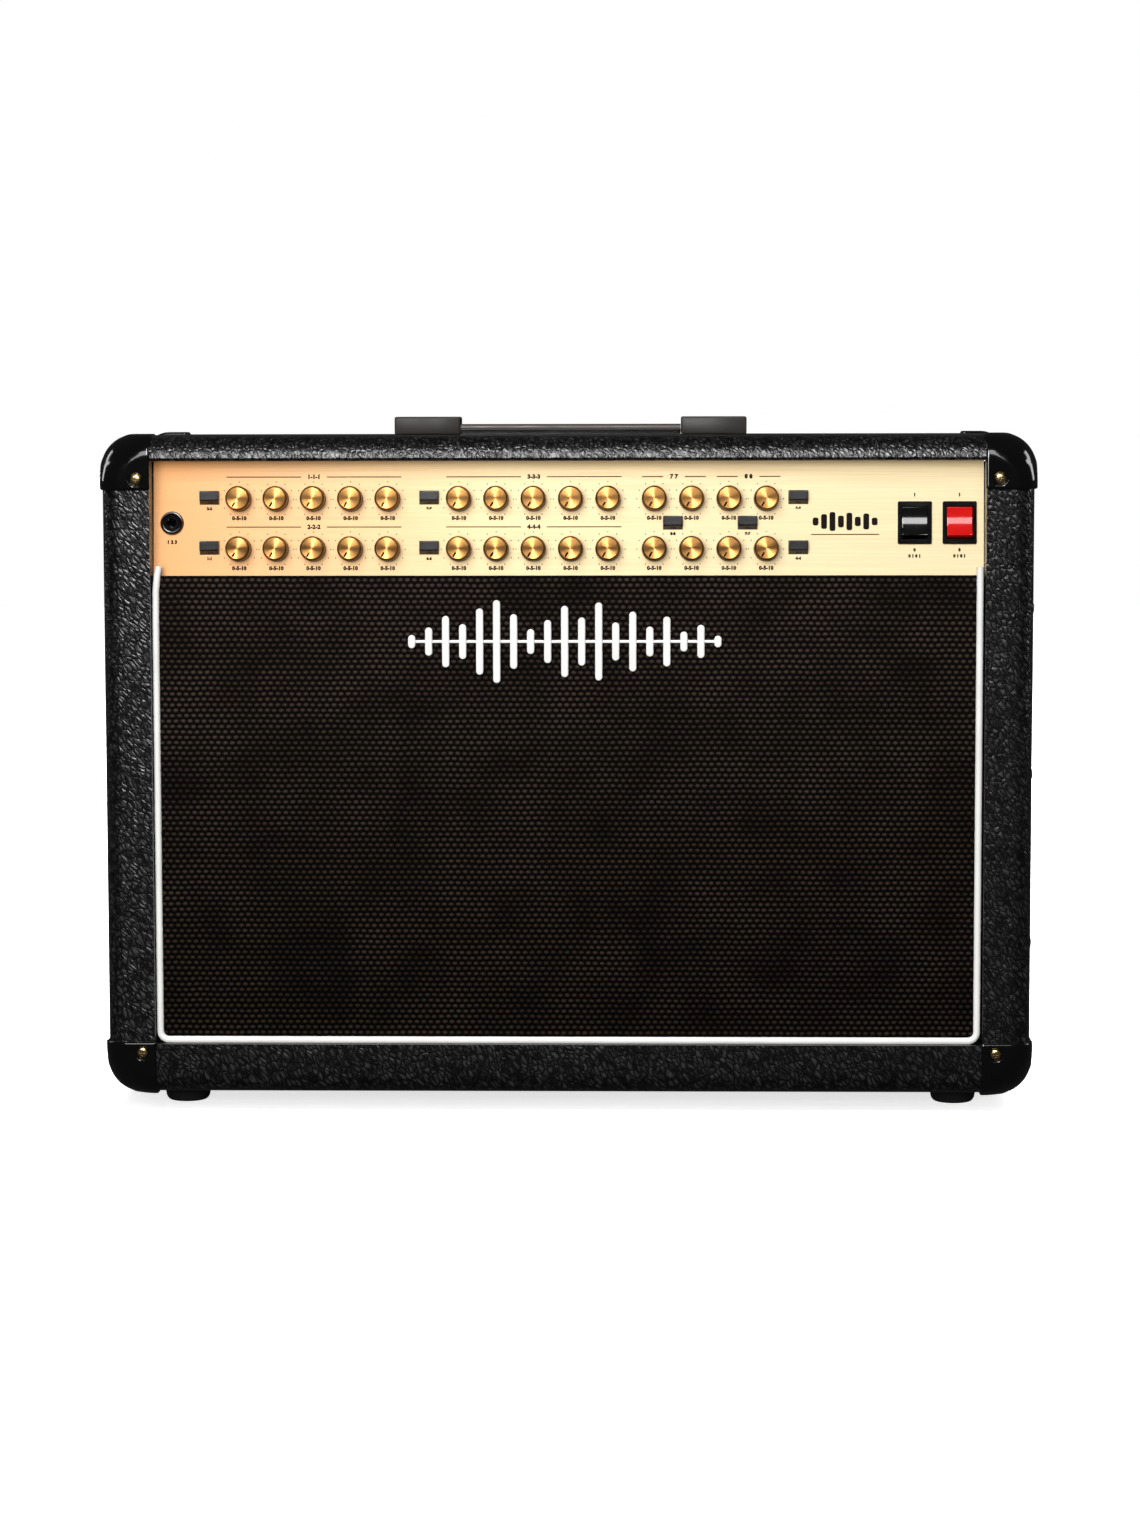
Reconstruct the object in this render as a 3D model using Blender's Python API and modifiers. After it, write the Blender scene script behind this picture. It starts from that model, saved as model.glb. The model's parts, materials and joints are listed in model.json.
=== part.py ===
"""Two-speaker valve guitar combo amplifier, modelled as separate pieces in metres.

X runs to the right as seen from the front, the front faces -Y and +Z is up. The origin is on the
floor, under the middle of the cabinet. The controls sit on a panel that leans back, so everything
on it is built in the frame of the empty panel_frame: its X runs along the panel, its Z up the panel
and its -Y out of the panel's face.
"""

import math

import bmesh
import bpy
from mathutils import Matrix, Vector

# Cabinet
CABINET_WIDTH = 0.684
CABINET_DEPTH = 0.259
FOOT_HEIGHT = 0.0125
FOOT_X = 0.288
FOOT_ROWS = (("front", -0.081), ("rear", 0.081))
CABINET_TOP = 0.4987
WALL = 0.016
EDGE_RADIUS = 0.014
DEPTH_EDGE_RADIUS = 0.020
FRONT_FRAME_DEPTH = 0.018
OPENING_HALF_WIDTH = 0.3062
OPENING_BOTTOM = 0.0495
OPENING_TOP = 0.4805
CORNER_PROUD = 0.0023
CORNER_TOP = 0.5005
CORNER_REACH = 0.0389
CORNER_HEIGHT = 0.041
CORNER_RADIUS = 0.026
FIT = 0.0003

# Front boards
GRILLE_THICKNESS = 0.0095
GRILLE_TOP = 0.3962
BAFFLE_THICKNESS = 0.018
BAFFLE_TOP = 0.3938

# Speakers
SPEAKER_X = 0.156
SPEAKER_Z = 0.222
SPEAKER_RADIUS = 0.152
SPEAKER_CUTOUT = 0.140
SPEAKER_SIDES = 24

# Control panel
PANEL_LEAN = math.radians(5)
PANEL_CENTRE = (0, -0.1073, 0.4385)
PANEL_HALF_WIDTH = 0.3058
PANEL_LOW = -0.0435
PANEL_HIGH = 0.0430
PANEL_THICKNESS = 0.002
BOARD_FRONT = 0.013
BOARD_THICKNESS = 0.0016
BOARD_HALF_WIDTH = 0.303
BOARD_LOW = -0.0335
BOARD_HIGH = 0.0310

# Controls, as places along and up the panel
COLUMN_PITCH = 0.02744
UPPER_ROW = 0.0138
LOWER_ROW = -0.0231
MIDDLE_ROW = -0.0038
BUTTON_RAISE = 0.0011
BUTTON_BESIDE_GROUP = 0.0220
FIRST_GROUP_X = -0.2424
SECOND_GROUP_X = -0.0801
THIRD_GROUP_X = 0.0638
LAST_BUTTONS_X = 0.1697
JACK_X = -0.2921
ROCKER_ROW = -0.0040
ROCKER_PLACES = (("standby_rocker", 0.2551), ("power_rocker", 0.2880))

KNOB_HEIGHT = 0.0145
KNOB_SKIRT_RADIUS = 0.0093
KNOB_FACE_RADIUS = 0.0083
KNOB_SIDES = 16
KNOB_GAP = 0.0008
SHAFT_RADIUS = 0.003
SHAFT_BORE = 0.0036
SHAFT_REACH = 0.011
POT_SIZE = 0.016
POT_FRONT = 0.005
SWITCH_SIZE = 0.008
SWITCH_FRONT = 0.0072

BUTTON_WIDTH = 0.014
BUTTON_HEIGHT = 0.0095
BUTTON_PROUD = 0.005

ROCKER_WIDTH = 0.0187
ROCKER_BEZEL = (0.0251, 0.0316)
ROCKER_BEZEL_PROUD = 0.0018
ROCKER_CAVITY = (0.0195, 0.0243)
ROCKER_BODY = (0.0224, 0.0284)
ROCKER_PIVOT = 0.004
ROCKER_TILT = math.radians(8)

JACK_RADIUS = 0.0088
JACK_BORE = 0.0036
JACK_BODY_RADIUS = 0.0061
JACK_PROUD = 0.003

# Chassis and what hangs from it
CHASSIS_HALF_WIDTH = 0.318
CHASSIS_FLOOR = 0.3995
CHASSIS_TOP = 0.472
CHASSIS_REAR = 0.116
SHEET = 0.0015
SOCKET_ROW = 0.436
SOCKET_RADIUS = 0.0066
SOCKET_BORE = 0.0035
SOCKET_PROUD = 0.0025
INLET_X = 0.265
INLET_HALF = (0.0125, 0.0085)
TRANSFORMER_Y = 0.058
VALVE_Y = 0.068
VALVE_PLACES = (-0.105, -0.055, -0.005, 0.045)

# Rear guard and rear board
GUARD_THICKNESS = 0.002
GUARD_LOW = 0.300
GUARD_HIGH = 0.3985
VENT_COUNT = 12
VENT_PITCH = 0.050
VENT_WIDTH = 0.040
VENT_HEIGHT = 0.022
VENT_ROWS = (0.318, 0.352)
REAR_BOARD_THICKNESS = 0.009
REAR_BOARD_HIGH = 0.185

# Handle
HANDLE_HALF_LENGTH = 0.1336
HANDLE_CAP_LENGTH = 0.0497
HANDLE_TOP = 0.5125
HANDLE_CAP_HALF_DEPTH = 0.0175
HANDLE_CAP_WALL = 0.0018
STRAP_HALF_DEPTH = 0.0125
STRAP_LOW = 0.5003
STRAP_THICKNESS = 0.0066
TONGUE_HALF_DEPTH = 0.009
TONGUE_LOW = STRAP_LOW + 0.0009
TONGUE_THICKNESS = 0.0016
TONGUE_REACH = 0.038

FRONT = -CABINET_DEPTH / 2
REAR = CABINET_DEPTH / 2
SIDE = CABINET_WIDTH / 2
FRAME_BACK = FRONT + FRONT_FRAME_DEPTH
BAFFLE_BACK = FRAME_BACK + FIT + BAFFLE_THICKNESS


# ---------------------------------------------------------------- scene and helpers

def clear_scene():
    for obj in list(bpy.data.objects):
        bpy.data.objects.remove(obj, do_unlink=True)


def new_collection(name):
    collection = bpy.data.collections.new(name)
    bpy.context.scene.collection.children.link(collection)
    return collection


clear_scene()
AMPLIFIER = new_collection("guitar_combo_amplifier")
CUTTERS = new_collection("cutters")


def material(name, colour, roughness, metallic=0.0):
    made = bpy.data.materials.new(name)
    made.use_nodes = True
    shader = made.node_tree.nodes["Principled BSDF"]
    shader.inputs["Base Color"].default_value = (*colour, 1)
    shader.inputs["Roughness"].default_value = roughness
    shader.inputs["Metallic"].default_value = metallic
    return made


def place(mesh, name, finish, parent=None):
    """An object of the amplifier that shows this mesh."""
    obj = bpy.data.objects.new(name, mesh)
    AMPLIFIER.objects.link(obj)
    if not mesh.materials:
        mesh.materials.append(finish)
    obj.parent = parent
    return obj


def as_helper(obj):
    """Turns an object into a helper for a Boolean, which is never rendered."""
    AMPLIFIER.objects.unlink(obj)
    CUTTERS.objects.link(obj)
    obj.hide_render = True
    obj.display_type = "WIRE"
    return obj


def solid(name, fill, finish=None, parent=None):
    """An object whose mesh the function fill draws into a bmesh."""
    mesh = bpy.data.meshes.new(name)
    shape = bmesh.new()
    fill(shape)
    bmesh.ops.recalc_face_normals(shape, faces=shape.faces)
    shape.to_mesh(mesh)
    shape.free()
    return place(mesh, name, finish, parent)


def helper(name, fill, parent=None):
    return as_helper(solid(name, fill, None, parent))


def box(shape, low, high):
    """Draws a box between two corners, the lowest and the highest."""
    middle = (Vector(low) + Vector(high)) / 2
    size = Vector(high) - Vector(low)
    stretch = Matrix.Diagonal((*size, 1))
    bmesh.ops.create_cube(shape, size=1, matrix=Matrix.Translation(middle) @ stretch)


def rod(shape, start, end, radius, sides, end_radius=None):
    """Draws a closed cylinder or cone between two points."""
    run = Vector(end) - Vector(start)
    aim = run.to_track_quat("Z", "Y").to_matrix().to_4x4()
    middle = Matrix.Translation((Vector(start) + Vector(end)) / 2)
    bmesh.ops.create_cone(
        shape,
        cap_ends=True,
        segments=sides,
        radius1=radius,
        radius2=radius if end_radius is None else end_radius,
        depth=run.length,
        matrix=middle @ aim,
    )


def boolean(target, other, operation):
    modifier = target.modifiers.new(other.name, "BOOLEAN")
    modifier.operation = operation
    modifier.solver = "EXACT"
    modifier.object = other


def cut(target, name, fill):
    boolean(target, helper(name, fill, target.parent), "DIFFERENCE")


def join(target, name, fill):
    boolean(target, helper(name, fill, target.parent), "UNION")


def bevel(obj, width, segments=1, angle=math.radians(50)):
    modifier = obj.modifiers.new("rounded_edges", "BEVEL")
    modifier.width = width
    modifier.segments = segments
    modifier.limit_method = "ANGLE"
    modifier.angle_limit = angle


def baked(obj):
    """The mesh that an object's modifiers give; the object itself is removed."""
    bpy.context.view_layer.update()
    graph = bpy.context.evaluated_depsgraph_get()
    mesh = bpy.data.meshes.new_from_object(obj.evaluated_get(graph))
    mesh.name = obj.name
    bpy.data.objects.remove(obj, do_unlink=True)
    mesh.materials.clear()
    return mesh


def smooth(mesh, angle=math.radians(35)):
    mesh.shade_smooth()
    mesh.set_sharp_from_angle(angle=angle)
    return mesh


def turned_mesh(name, profile, sides):
    """The mesh of a profile of (radius, height) points turned round Z, listed from the top down."""
    line = bpy.data.meshes.new(name)
    points = [(radius, 0, height) for radius, height in profile]
    line.from_pydata(points, [(i, i + 1) for i in range(len(points) - 1)], [])
    obj = bpy.data.objects.new(name, line)
    AMPLIFIER.objects.link(obj)
    screw = obj.modifiers.new("turn", "SCREW")
    screw.axis = "Z"
    screw.angle = math.tau
    screw.steps = sides
    screw.render_steps = sides
    screw.use_merge_vertices = True
    screw.merge_threshold = 0.00005
    return smooth(baked(obj))


def side_name(sign):
    return "left" if sign < 0 else "right"


# ---------------------------------------------------------------- cabinet

def cabinet_block(shape):
    """The outside of the cabinet, whose edges along the depth are rounder than the others."""
    box(shape, (-SIDE, FRONT, FOOT_HEIGHT), (SIDE, REAR, CABINET_TOP))

    def runs_deep(edge):
        return abs(edge.verts[0].co.y - edge.verts[1].co.y) > CABINET_DEPTH / 2

    deep = [edge for edge in shape.edges if runs_deep(edge)]
    bmesh.ops.bevel(
        shape, geom=deep, offset=DEPTH_EDGE_RADIUS, segments=4, profile=0.5, affect="EDGES"
    )
    ends = [edge for edge in shape.edges if not runs_deep(edge)]
    bmesh.ops.bevel(shape, geom=ends, offset=EDGE_RADIUS, segments=3, profile=0.5, affect="EDGES")


def cabinet_shell():
    vinyl = material("black_vinyl", (0.022, 0.022, 0.023), 0.55)
    shell = solid("cabinet_shell", cabinet_block, vinyl)

    proud_side = SIDE + CORNER_PROUD
    proud_end = REAR + CORNER_PROUD
    proud_bottom = FOOT_HEIGHT - CORNER_PROUD
    signs = (-1, 1)

    def corner_boxes(shape, reach, height):
        """A box at each of the eight corners, from outside the cabinet to this far inward."""
        spare = 0.01
        for x in signs:
            for y in signs:
                for level, outward, face in (
                    (CABINET_TOP, 1, CORNER_TOP),
                    (FOOT_HEIGHT, -1, proud_bottom),
                ):
                    outer = (x * (SIDE + spare), y * (REAR + spare), level + outward * spare)
                    inner = (
                        x * (proud_side - reach),
                        y * (proud_end - reach),
                        face - outward * height,
                    )
                    low = [min(a, b) for a, b in zip(inner, outer)]
                    high = [max(a, b) for a, b in zip(inner, outer)]
                    box(shape, low, high)

    # The edge of the cabinet is cut away under each corner protector, which has a rounder corner.
    inset = 0.002
    cut(
        shell,
        "corner_rebates",
        lambda s: corner_boxes(s, CORNER_REACH - inset, CORNER_HEIGHT - inset),
    )

    # One rounded block larger than the cabinet, of which only the eight corners are kept.
    protectors = helper(
        "corner_protectors",
        lambda s: box(
            s, (-proud_side, -proud_end, proud_bottom), (proud_side, proud_end, CORNER_TOP)
        ),
    )
    bevel(protectors, CORNER_RADIUS, 4)
    kept = helper(
        "corner_protector_extent",
        lambda s: corner_boxes(s, CORNER_REACH, CORNER_HEIGHT),
    )
    boolean(protectors, kept, "INTERSECT")
    boolean(shell, protectors, "UNION")

    inside = SIDE - WALL
    overrun = 0.02
    cut(
        shell,
        "front_opening",
        lambda s: box(
            s,
            (-OPENING_HALF_WIDTH, FRONT - overrun, OPENING_BOTTOM),
            (OPENING_HALF_WIDTH, FRAME_BACK + overrun, OPENING_TOP),
        ),
    )
    cut(
        shell,
        "cabinet_inside",
        lambda s: box(
            s,
            (-inside, FRAME_BACK, FOOT_HEIGHT + WALL),
            (inside, REAR + overrun, CABINET_TOP - WALL),
        ),
    )


def feet():
    rubber = material("black_rubber", (0.012, 0.012, 0.012), 0.7)
    top = FOOT_HEIGHT - FIT
    recess = 0.006
    profile = [
        (0, top), (0.0187, top), (0.0187, 0.007), (0.0165, 0.0018), (0.0135, 0),
        (recess, 0), (recess, 0.005), (0, 0.005),
    ]
    mesh = turned_mesh("foot", profile, 16)
    for end, y in FOOT_ROWS:
        for sign in (-1, 1):
            foot = place(mesh, f"foot_{end}_{side_name(sign)}", rubber)
            foot.location = (sign * FOOT_X, y, 0)


def handle():
    plastic = material("handle_plastic", (0.03, 0.03, 0.03), 0.45)
    strap_rubber = material("handle_strap_rubber", (0.045, 0.042, 0.04), 0.5)
    low = CABINET_TOP + FIT
    inner = HANDLE_HALF_LENGTH - HANDLE_CAP_LENGTH
    depth = HANDLE_CAP_HALF_DEPTH
    overrun = 0.01
    end_wall = 0.004

    for sign in (-1, 1):
        side = side_name(sign)
        x_low, x_high = sorted((sign * inner, sign * HANDLE_HALF_LENGTH))
        cap = solid(
            f"handle_cap_{side}",
            lambda s: box(s, (x_low, -depth, low), (x_high, depth, HANDLE_TOP)),
            plastic,
        )
        bevel(cap, 0.0018, 2)
        mouth, end = sign * (inner - overrun), sign * (HANDLE_HALF_LENGTH - end_wall)
        hollow_low, hollow_high = sorted((mouth, end))
        cut(
            cap,
            f"handle_cap_hollow_{side}",
            lambda s: box(
                s,
                (hollow_low, HANDLE_CAP_WALL - depth, low - overrun),
                (hollow_high, depth - HANDLE_CAP_WALL, HANDLE_TOP - HANDLE_CAP_WALL),
            ),
        )

    # The strap's thin steel ends reach into the hollow caps, and rise inside them when it is lifted.
    strap = solid(
        "handle_strap",
        lambda s: box(
            s,
            (-inner + FIT, -STRAP_HALF_DEPTH, STRAP_LOW),
            (inner - FIT, STRAP_HALF_DEPTH, STRAP_LOW + STRAP_THICKNESS),
        ),
        strap_rubber,
    )
    bevel(strap, 0.0015, 2)
    reach = inner + TONGUE_REACH
    join(
        strap,
        "handle_strap_tongues",
        lambda s: box(
            s,
            (-reach, -TONGUE_HALF_DEPTH, TONGUE_LOW),
            (reach, TONGUE_HALF_DEPTH, TONGUE_LOW + TONGUE_THICKNESS),
        ),
    )


# ---------------------------------------------------------------- front boards and speakers

def front_boards():
    cloth = material("grille_cloth", (0.03, 0.026, 0.022), 0.9)
    birch = material("birch_plywood", (0.42, 0.30, 0.18), 0.7)
    grille_back = FRAME_BACK - FIT
    grille = solid(
        "grille_panel",
        lambda s: box(
            s,
            (-OPENING_HALF_WIDTH + FIT, grille_back - GRILLE_THICKNESS, OPENING_BOTTOM + FIT),
            (OPENING_HALF_WIDTH - FIT, grille_back, GRILLE_TOP),
        ),
        cloth,
    )
    bevel(grille, 0.002, 2)

    half_width = SIDE - WALL - FIT
    baffle = solid(
        "baffle_board",
        lambda s: box(
            s,
            (-half_width, FRAME_BACK + FIT, FOOT_HEIGHT + WALL + FIT),
            (half_width, BAFFLE_BACK, BAFFLE_TOP),
        ),
        birch,
    )

    def holes(shape):
        for sign in (-1, 1):
            start = (sign * SPEAKER_X, FRAME_BACK - 0.01, SPEAKER_Z)
            end = (sign * SPEAKER_X, BAFFLE_BACK + 0.01, SPEAKER_Z)
            rod(shape, start, end, SPEAKER_CUTOUT, SPEAKER_SIDES)

    cut(baffle, "speaker_cutouts", holes)


def speakers():
    steel = material("speaker_frame_steel", (0.05, 0.05, 0.052), 0.4, 0.6)
    paper = material("speaker_cone_paper", (0.035, 0.033, 0.03), 0.85)
    gasket = 0.003
    throat = 0.0255
    # Heights are measured forward from the speaker's mounting face.
    outline = [
        (0, -0.078), (0.0195, -0.078), (0.0195, -0.105), (throat, -0.105), (throat, -0.073),
        (0.080, -0.073), (0.1335, -0.0105), (0.139, 0), (SPEAKER_RADIUS, 0),
        (SPEAKER_RADIUS, -gasket), (0.1415, -gasket), (0.136, -0.012), (0.082, -0.075),
        (0.062, -0.0775), (0.062, -0.084), (0.078, -0.084), (0.078, -0.114), (0.062, -0.114),
        (0.060, -0.122), (0, -0.122),
    ]
    template = place(turned_mesh("speaker_frame", outline, SPEAKER_SIDES), "speaker_frame", None)

    for turn in range(3):
        angle = math.radians(60 * turn + 30)

        def window(shape, angle=angle):
            box(shape, (-0.17, -0.032, -0.060), (0.17, 0.032, -0.018))
            bmesh.ops.rotate(shape, matrix=Matrix.Rotation(angle, 3, "Z"), verts=shape.verts)

        cut(template, f"basket_window_{turn}", window)
    frame_mesh = baked(template)

    cone_profile = [
        (0, -0.036), (0.012, -0.0385), (0.023, -0.045), (0.060, -0.031), (0.124, 0.0005),
        (0.130, 0.002), (0.136, 0.0005), (0.136, -0.0012), (0.124, -0.0012), (0.060, -0.0330),
        (0.0235, -0.0475), (0.0235, -0.090), (0.0215, -0.090), (0.0215, -0.0475),
        (0.0115, -0.0400), (0, -0.0377),
    ]
    cone_mesh = turned_mesh("speaker_cone", cone_profile, SPEAKER_SIDES)

    for sign in (-1, 1):
        for name, mesh, finish in (("frame", frame_mesh, steel), ("cone", cone_mesh, paper)):
            speaker = place(mesh, f"speaker_{name}_{side_name(sign)}", finish)
            speaker.location = (sign * SPEAKER_X, BAFFLE_BACK + FIT, SPEAKER_Z)
            speaker.rotation_euler.x = math.radians(90)


# ---------------------------------------------------------------- control panel

def panel_frame():
    empty = bpy.data.objects.new("panel_frame", None)
    AMPLIFIER.objects.link(empty)
    empty.location = PANEL_CENTRE
    empty.rotation_euler.x = -PANEL_LEAN
    return empty


def columns(first, count):
    return [first + COLUMN_PITCH * index for index in range(count)]


def knob_places():
    """The name and the place along and up the panel of every knob."""
    tone = ("gain", "treble", "middle", "bass", "volume")
    rows = (
        (FIRST_GROUP_X, UPPER_ROW, [f"crunch_{word}" for word in tone]),
        (FIRST_GROUP_X, LOWER_ROW, [f"clean_{word}" for word in tone]),
        (SECOND_GROUP_X, UPPER_ROW, [f"lead1_{word}" for word in tone]),
        (SECOND_GROUP_X, LOWER_ROW, [f"lead2_{word}" for word in tone]),
        (THIRD_GROUP_X, UPPER_ROW, ["reverb_1", "reverb_2", "presence", "resonance"]),
        (THIRD_GROUP_X, LOWER_ROW, ["reverb_3", "reverb_4", "master_1", "master_2"]),
    )
    return [
        (f"knob_{word}", x, height)
        for first, height, words in rows
        for word, x in zip(words, columns(first, len(words)))
    ]


def button_places():
    first = FIRST_GROUP_X - BUTTON_BESIDE_GROUP
    second = SECOND_GROUP_X - BUTTON_BESIDE_GROUP
    reverb = THIRD_GROUP_X + COLUMN_PITCH / 2
    upper, lower = UPPER_ROW + BUTTON_RAISE, LOWER_ROW + BUTTON_RAISE
    return [
        ("button_crunch_mode", first, upper),
        ("button_clean_mode", first, lower),
        ("button_lead1_mode", second, upper),
        ("button_lead2_mode", second, lower),
        ("button_reverb", reverb, MIDDLE_ROW),
        ("button_master_select", reverb + 2 * COLUMN_PITCH, MIDDLE_ROW),
        ("button_effects_loop", LAST_BUTTONS_X, upper),
        ("button_footswitch", LAST_BUTTONS_X, lower),
    ]


def control_panel(frame):
    gold = material("gold_panel", (0.83, 0.66, 0.36), 0.35, 0.7)
    panel = solid(
        "control_panel",
        lambda s: box(
            s,
            (-PANEL_HALF_WIDTH, 0, PANEL_LOW),
            (PANEL_HALF_WIDTH, PANEL_THICKNESS, PANEL_HIGH),
        ),
        gold,
        frame,
    )

    def holes(shape):
        near, far = -0.01, 0.01
        for _, x, z in knob_places():
            rod(shape, (x, near, z), (x, far, z), SHAFT_RADIUS + 0.0008, 12)
        for _, x, z in button_places():
            half = Vector((BUTTON_WIDTH / 2 + FIT, 0, BUTTON_HEIGHT / 2 + FIT))
            box(shape, Vector((x, near, z)) - half, Vector((x, far, z)) + half)
        half = Vector((ROCKER_BODY[0] / 2 + FIT, 0, ROCKER_BODY[1] / 2 + FIT))
        for _, x in ROCKER_PLACES:
            box(
                shape,
                Vector((x, near, ROCKER_ROW)) - half,
                Vector((x, far, ROCKER_ROW)) + half,
            )
        rod(shape, (JACK_X, near, MIDDLE_ROW), (JACK_X, far, MIDDLE_ROW), JACK_BODY_RADIUS + 0.0004, 16)

    cut(panel, "panel_holes", holes)


def knobs(frame):
    brass = material("knob_brass", (0.72, 0.50, 0.22), 0.25, 0.9)
    profile = [
        (0, KNOB_HEIGHT), (KNOB_FACE_RADIUS, KNOB_HEIGHT), (KNOB_SKIRT_RADIUS, KNOB_HEIGHT - 0.002),
        (KNOB_SKIRT_RADIUS, KNOB_GAP), (SHAFT_RADIUS, KNOB_GAP), (SHAFT_RADIUS, -SHAFT_REACH),
        (0, -SHAFT_REACH),
    ]
    template = place(turned_mesh("knob", profile, KNOB_SIDES), "knob", None)

    # The pointer line is cut into the face, on the side where the knob points at its lowest setting.
    lowest_setting = math.radians(150)

    def pointer(shape):
        box(shape, (-0.0006, 0.0035, KNOB_HEIGHT - 0.0008), (0.0006, 0.0072, KNOB_HEIGHT + 0.001))
        turn = Matrix.Rotation(lowest_setting, 3, "Z")
        bmesh.ops.rotate(shape, matrix=turn, verts=shape.verts)

    cut(template, "knob_pointer", pointer)
    mesh = baked(template)
    for name, x, z in knob_places():
        knob = place(mesh, name, brass, frame)
        knob.location = (x, 0, z)
        knob.rotation_euler.x = math.radians(90)


def buttons(frame):
    plastic = material("button_plastic", (0.02, 0.02, 0.022), 0.35)
    template = solid(
        "button",
        lambda s: box(
            s,
            (-BUTTON_WIDTH / 2, -BUTTON_PROUD, -BUTTON_HEIGHT / 2),
            (BUTTON_WIDTH / 2, 0.004, BUTTON_HEIGHT / 2),
        ),
    )
    bevel(template, 0.0008)
    stem = 0.0015
    join(
        template,
        "button_stem",
        lambda s: box(s, (-stem, 0.0035, -stem), (stem, 0.0095, stem)),
    )
    mesh = baked(template)
    for name, x, z in button_places():
        button = place(mesh, name, plastic, frame)
        button.location = (x, 0, z)


def rockers(frame):
    colours = {"standby_rocker": (0.015, 0.015, 0.016), "power_rocker": (0.75, 0.02, 0.015)}
    out, rim, middle, root = 0.0083, 0.0042, 0.0068, -0.003
    tip, heel = 0.0102, 0.0112
    # Distances out of the panel and up it from the pivot, clockwise from the top of the face
    outline = [
        (out, tip), (middle, 0), (out, -tip), (rim, -heel), (root, -heel), (root, heel), (rim, heel),
    ]

    def prism(shape):
        half = ROCKER_WIDTH / 2
        corners = [shape.verts.new((-half, -u, v)) for u, v in outline]
        end = shape.faces.new(corners)
        grown = bmesh.ops.extrude_face_region(shape, geom=[end])["geom"]
        moved = [item for item in grown if isinstance(item, bmesh.types.BMVert)]
        bmesh.ops.translate(shape, vec=(2 * half, 0, 0), verts=moved)

    for name, x in ROCKER_PLACES:
        finish = material(name.replace("rocker", "plastic"), colours[name], 0.25)
        rocker = solid(name, prism, finish, frame)
        bevel(rocker, 0.0005)
        rocker.location = (x, ROCKER_PIVOT, ROCKER_ROW)
        rocker.rotation_euler.x = -ROCKER_TILT


def control_board(frame):
    """The circuit board behind the panel, with every pot and switch body and the input jack on it."""
    board_green = material("circuit_board", (0.02, 0.14, 0.06), 0.45)
    board = solid(
        "control_board",
        lambda s: box(
            s,
            (-BOARD_HALF_WIDTH, BOARD_FRONT, BOARD_LOW),
            (BOARD_HALF_WIDTH, BOARD_FRONT + BOARD_THICKNESS, BOARD_HIGH),
        ),
        board_green,
        frame,
    )
    back = BOARD_FRONT + BOARD_THICKNESS / 2
    body_front = -0.001

    def centred(shape, x, z, width, height, near, far):
        """Draws a box round a place on the panel, from one depth to another."""
        box(shape, (x - width / 2, near, z - height / 2), (x + width / 2, far, z + height / 2))

    def jack_rod(shape, near, far, radius, end_radius=None):
        rod(shape, (JACK_X, near, MIDDLE_ROW), (JACK_X, far, MIDDLE_ROW), radius, 16, end_radius)

    def bodies(shape):
        for _, x, z in knob_places():
            centred(shape, x, z, POT_SIZE, POT_SIZE, POT_FRONT, back)
        for _, x, z in button_places():
            centred(shape, x, z, SWITCH_SIZE, SWITCH_SIZE, SWITCH_FRONT, back)
        for _, x in ROCKER_PLACES:
            centred(shape, x, ROCKER_ROW, *ROCKER_BODY, body_front, back)
        jack_rod(shape, back, body_front, JACK_BODY_RADIUS)

    def bezels(shape):
        for _, x in ROCKER_PLACES:
            centred(shape, x, ROCKER_ROW, *ROCKER_BEZEL, -ROCKER_BEZEL_PROUD, -FIT)
        jack_rod(shape, -FIT, -JACK_PROUD, JACK_RADIUS, JACK_RADIUS - 0.0008)

    def bores(shape):
        outside = -0.01
        stem_hole = 0.0038
        for _, x, z in knob_places():
            rod(shape, (x, 0, z), (x, SHAFT_REACH + 0.0006, z), SHAFT_BORE, 8)
        for _, x, z in button_places():
            centred(shape, x, z, stem_hole, stem_hole, 0, 0.0126)
        for _, x in ROCKER_PLACES:
            centred(shape, x, ROCKER_ROW, *ROCKER_CAVITY, outside, 0.0105)
        jack_rod(shape, outside, 0.030, JACK_BORE)

    join(board, "control_bodies", bodies)
    join(board, "control_bezels", bezels)
    cut(board, "control_bores", bores)


# ---------------------------------------------------------------- chassis

def panel_back(z):
    """The place of the chassis's front wall behind the leaning panel, at this height."""
    lean = math.tan(PANEL_LEAN)
    behind = (PANEL_THICKNESS + FIT) / math.cos(PANEL_LEAN)
    return PANEL_CENTRE[1] + (z - PANEL_CENTRE[2]) * lean + behind


def socket_places():
    """The places across the chassis's rear wall of its round sockets, five and then four."""
    pitch = 0.024
    first_row = [-0.230 + pitch * index for index in range(5)]
    second_row = [-0.060 + pitch * index for index in range(4)]
    return first_row + second_row


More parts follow.
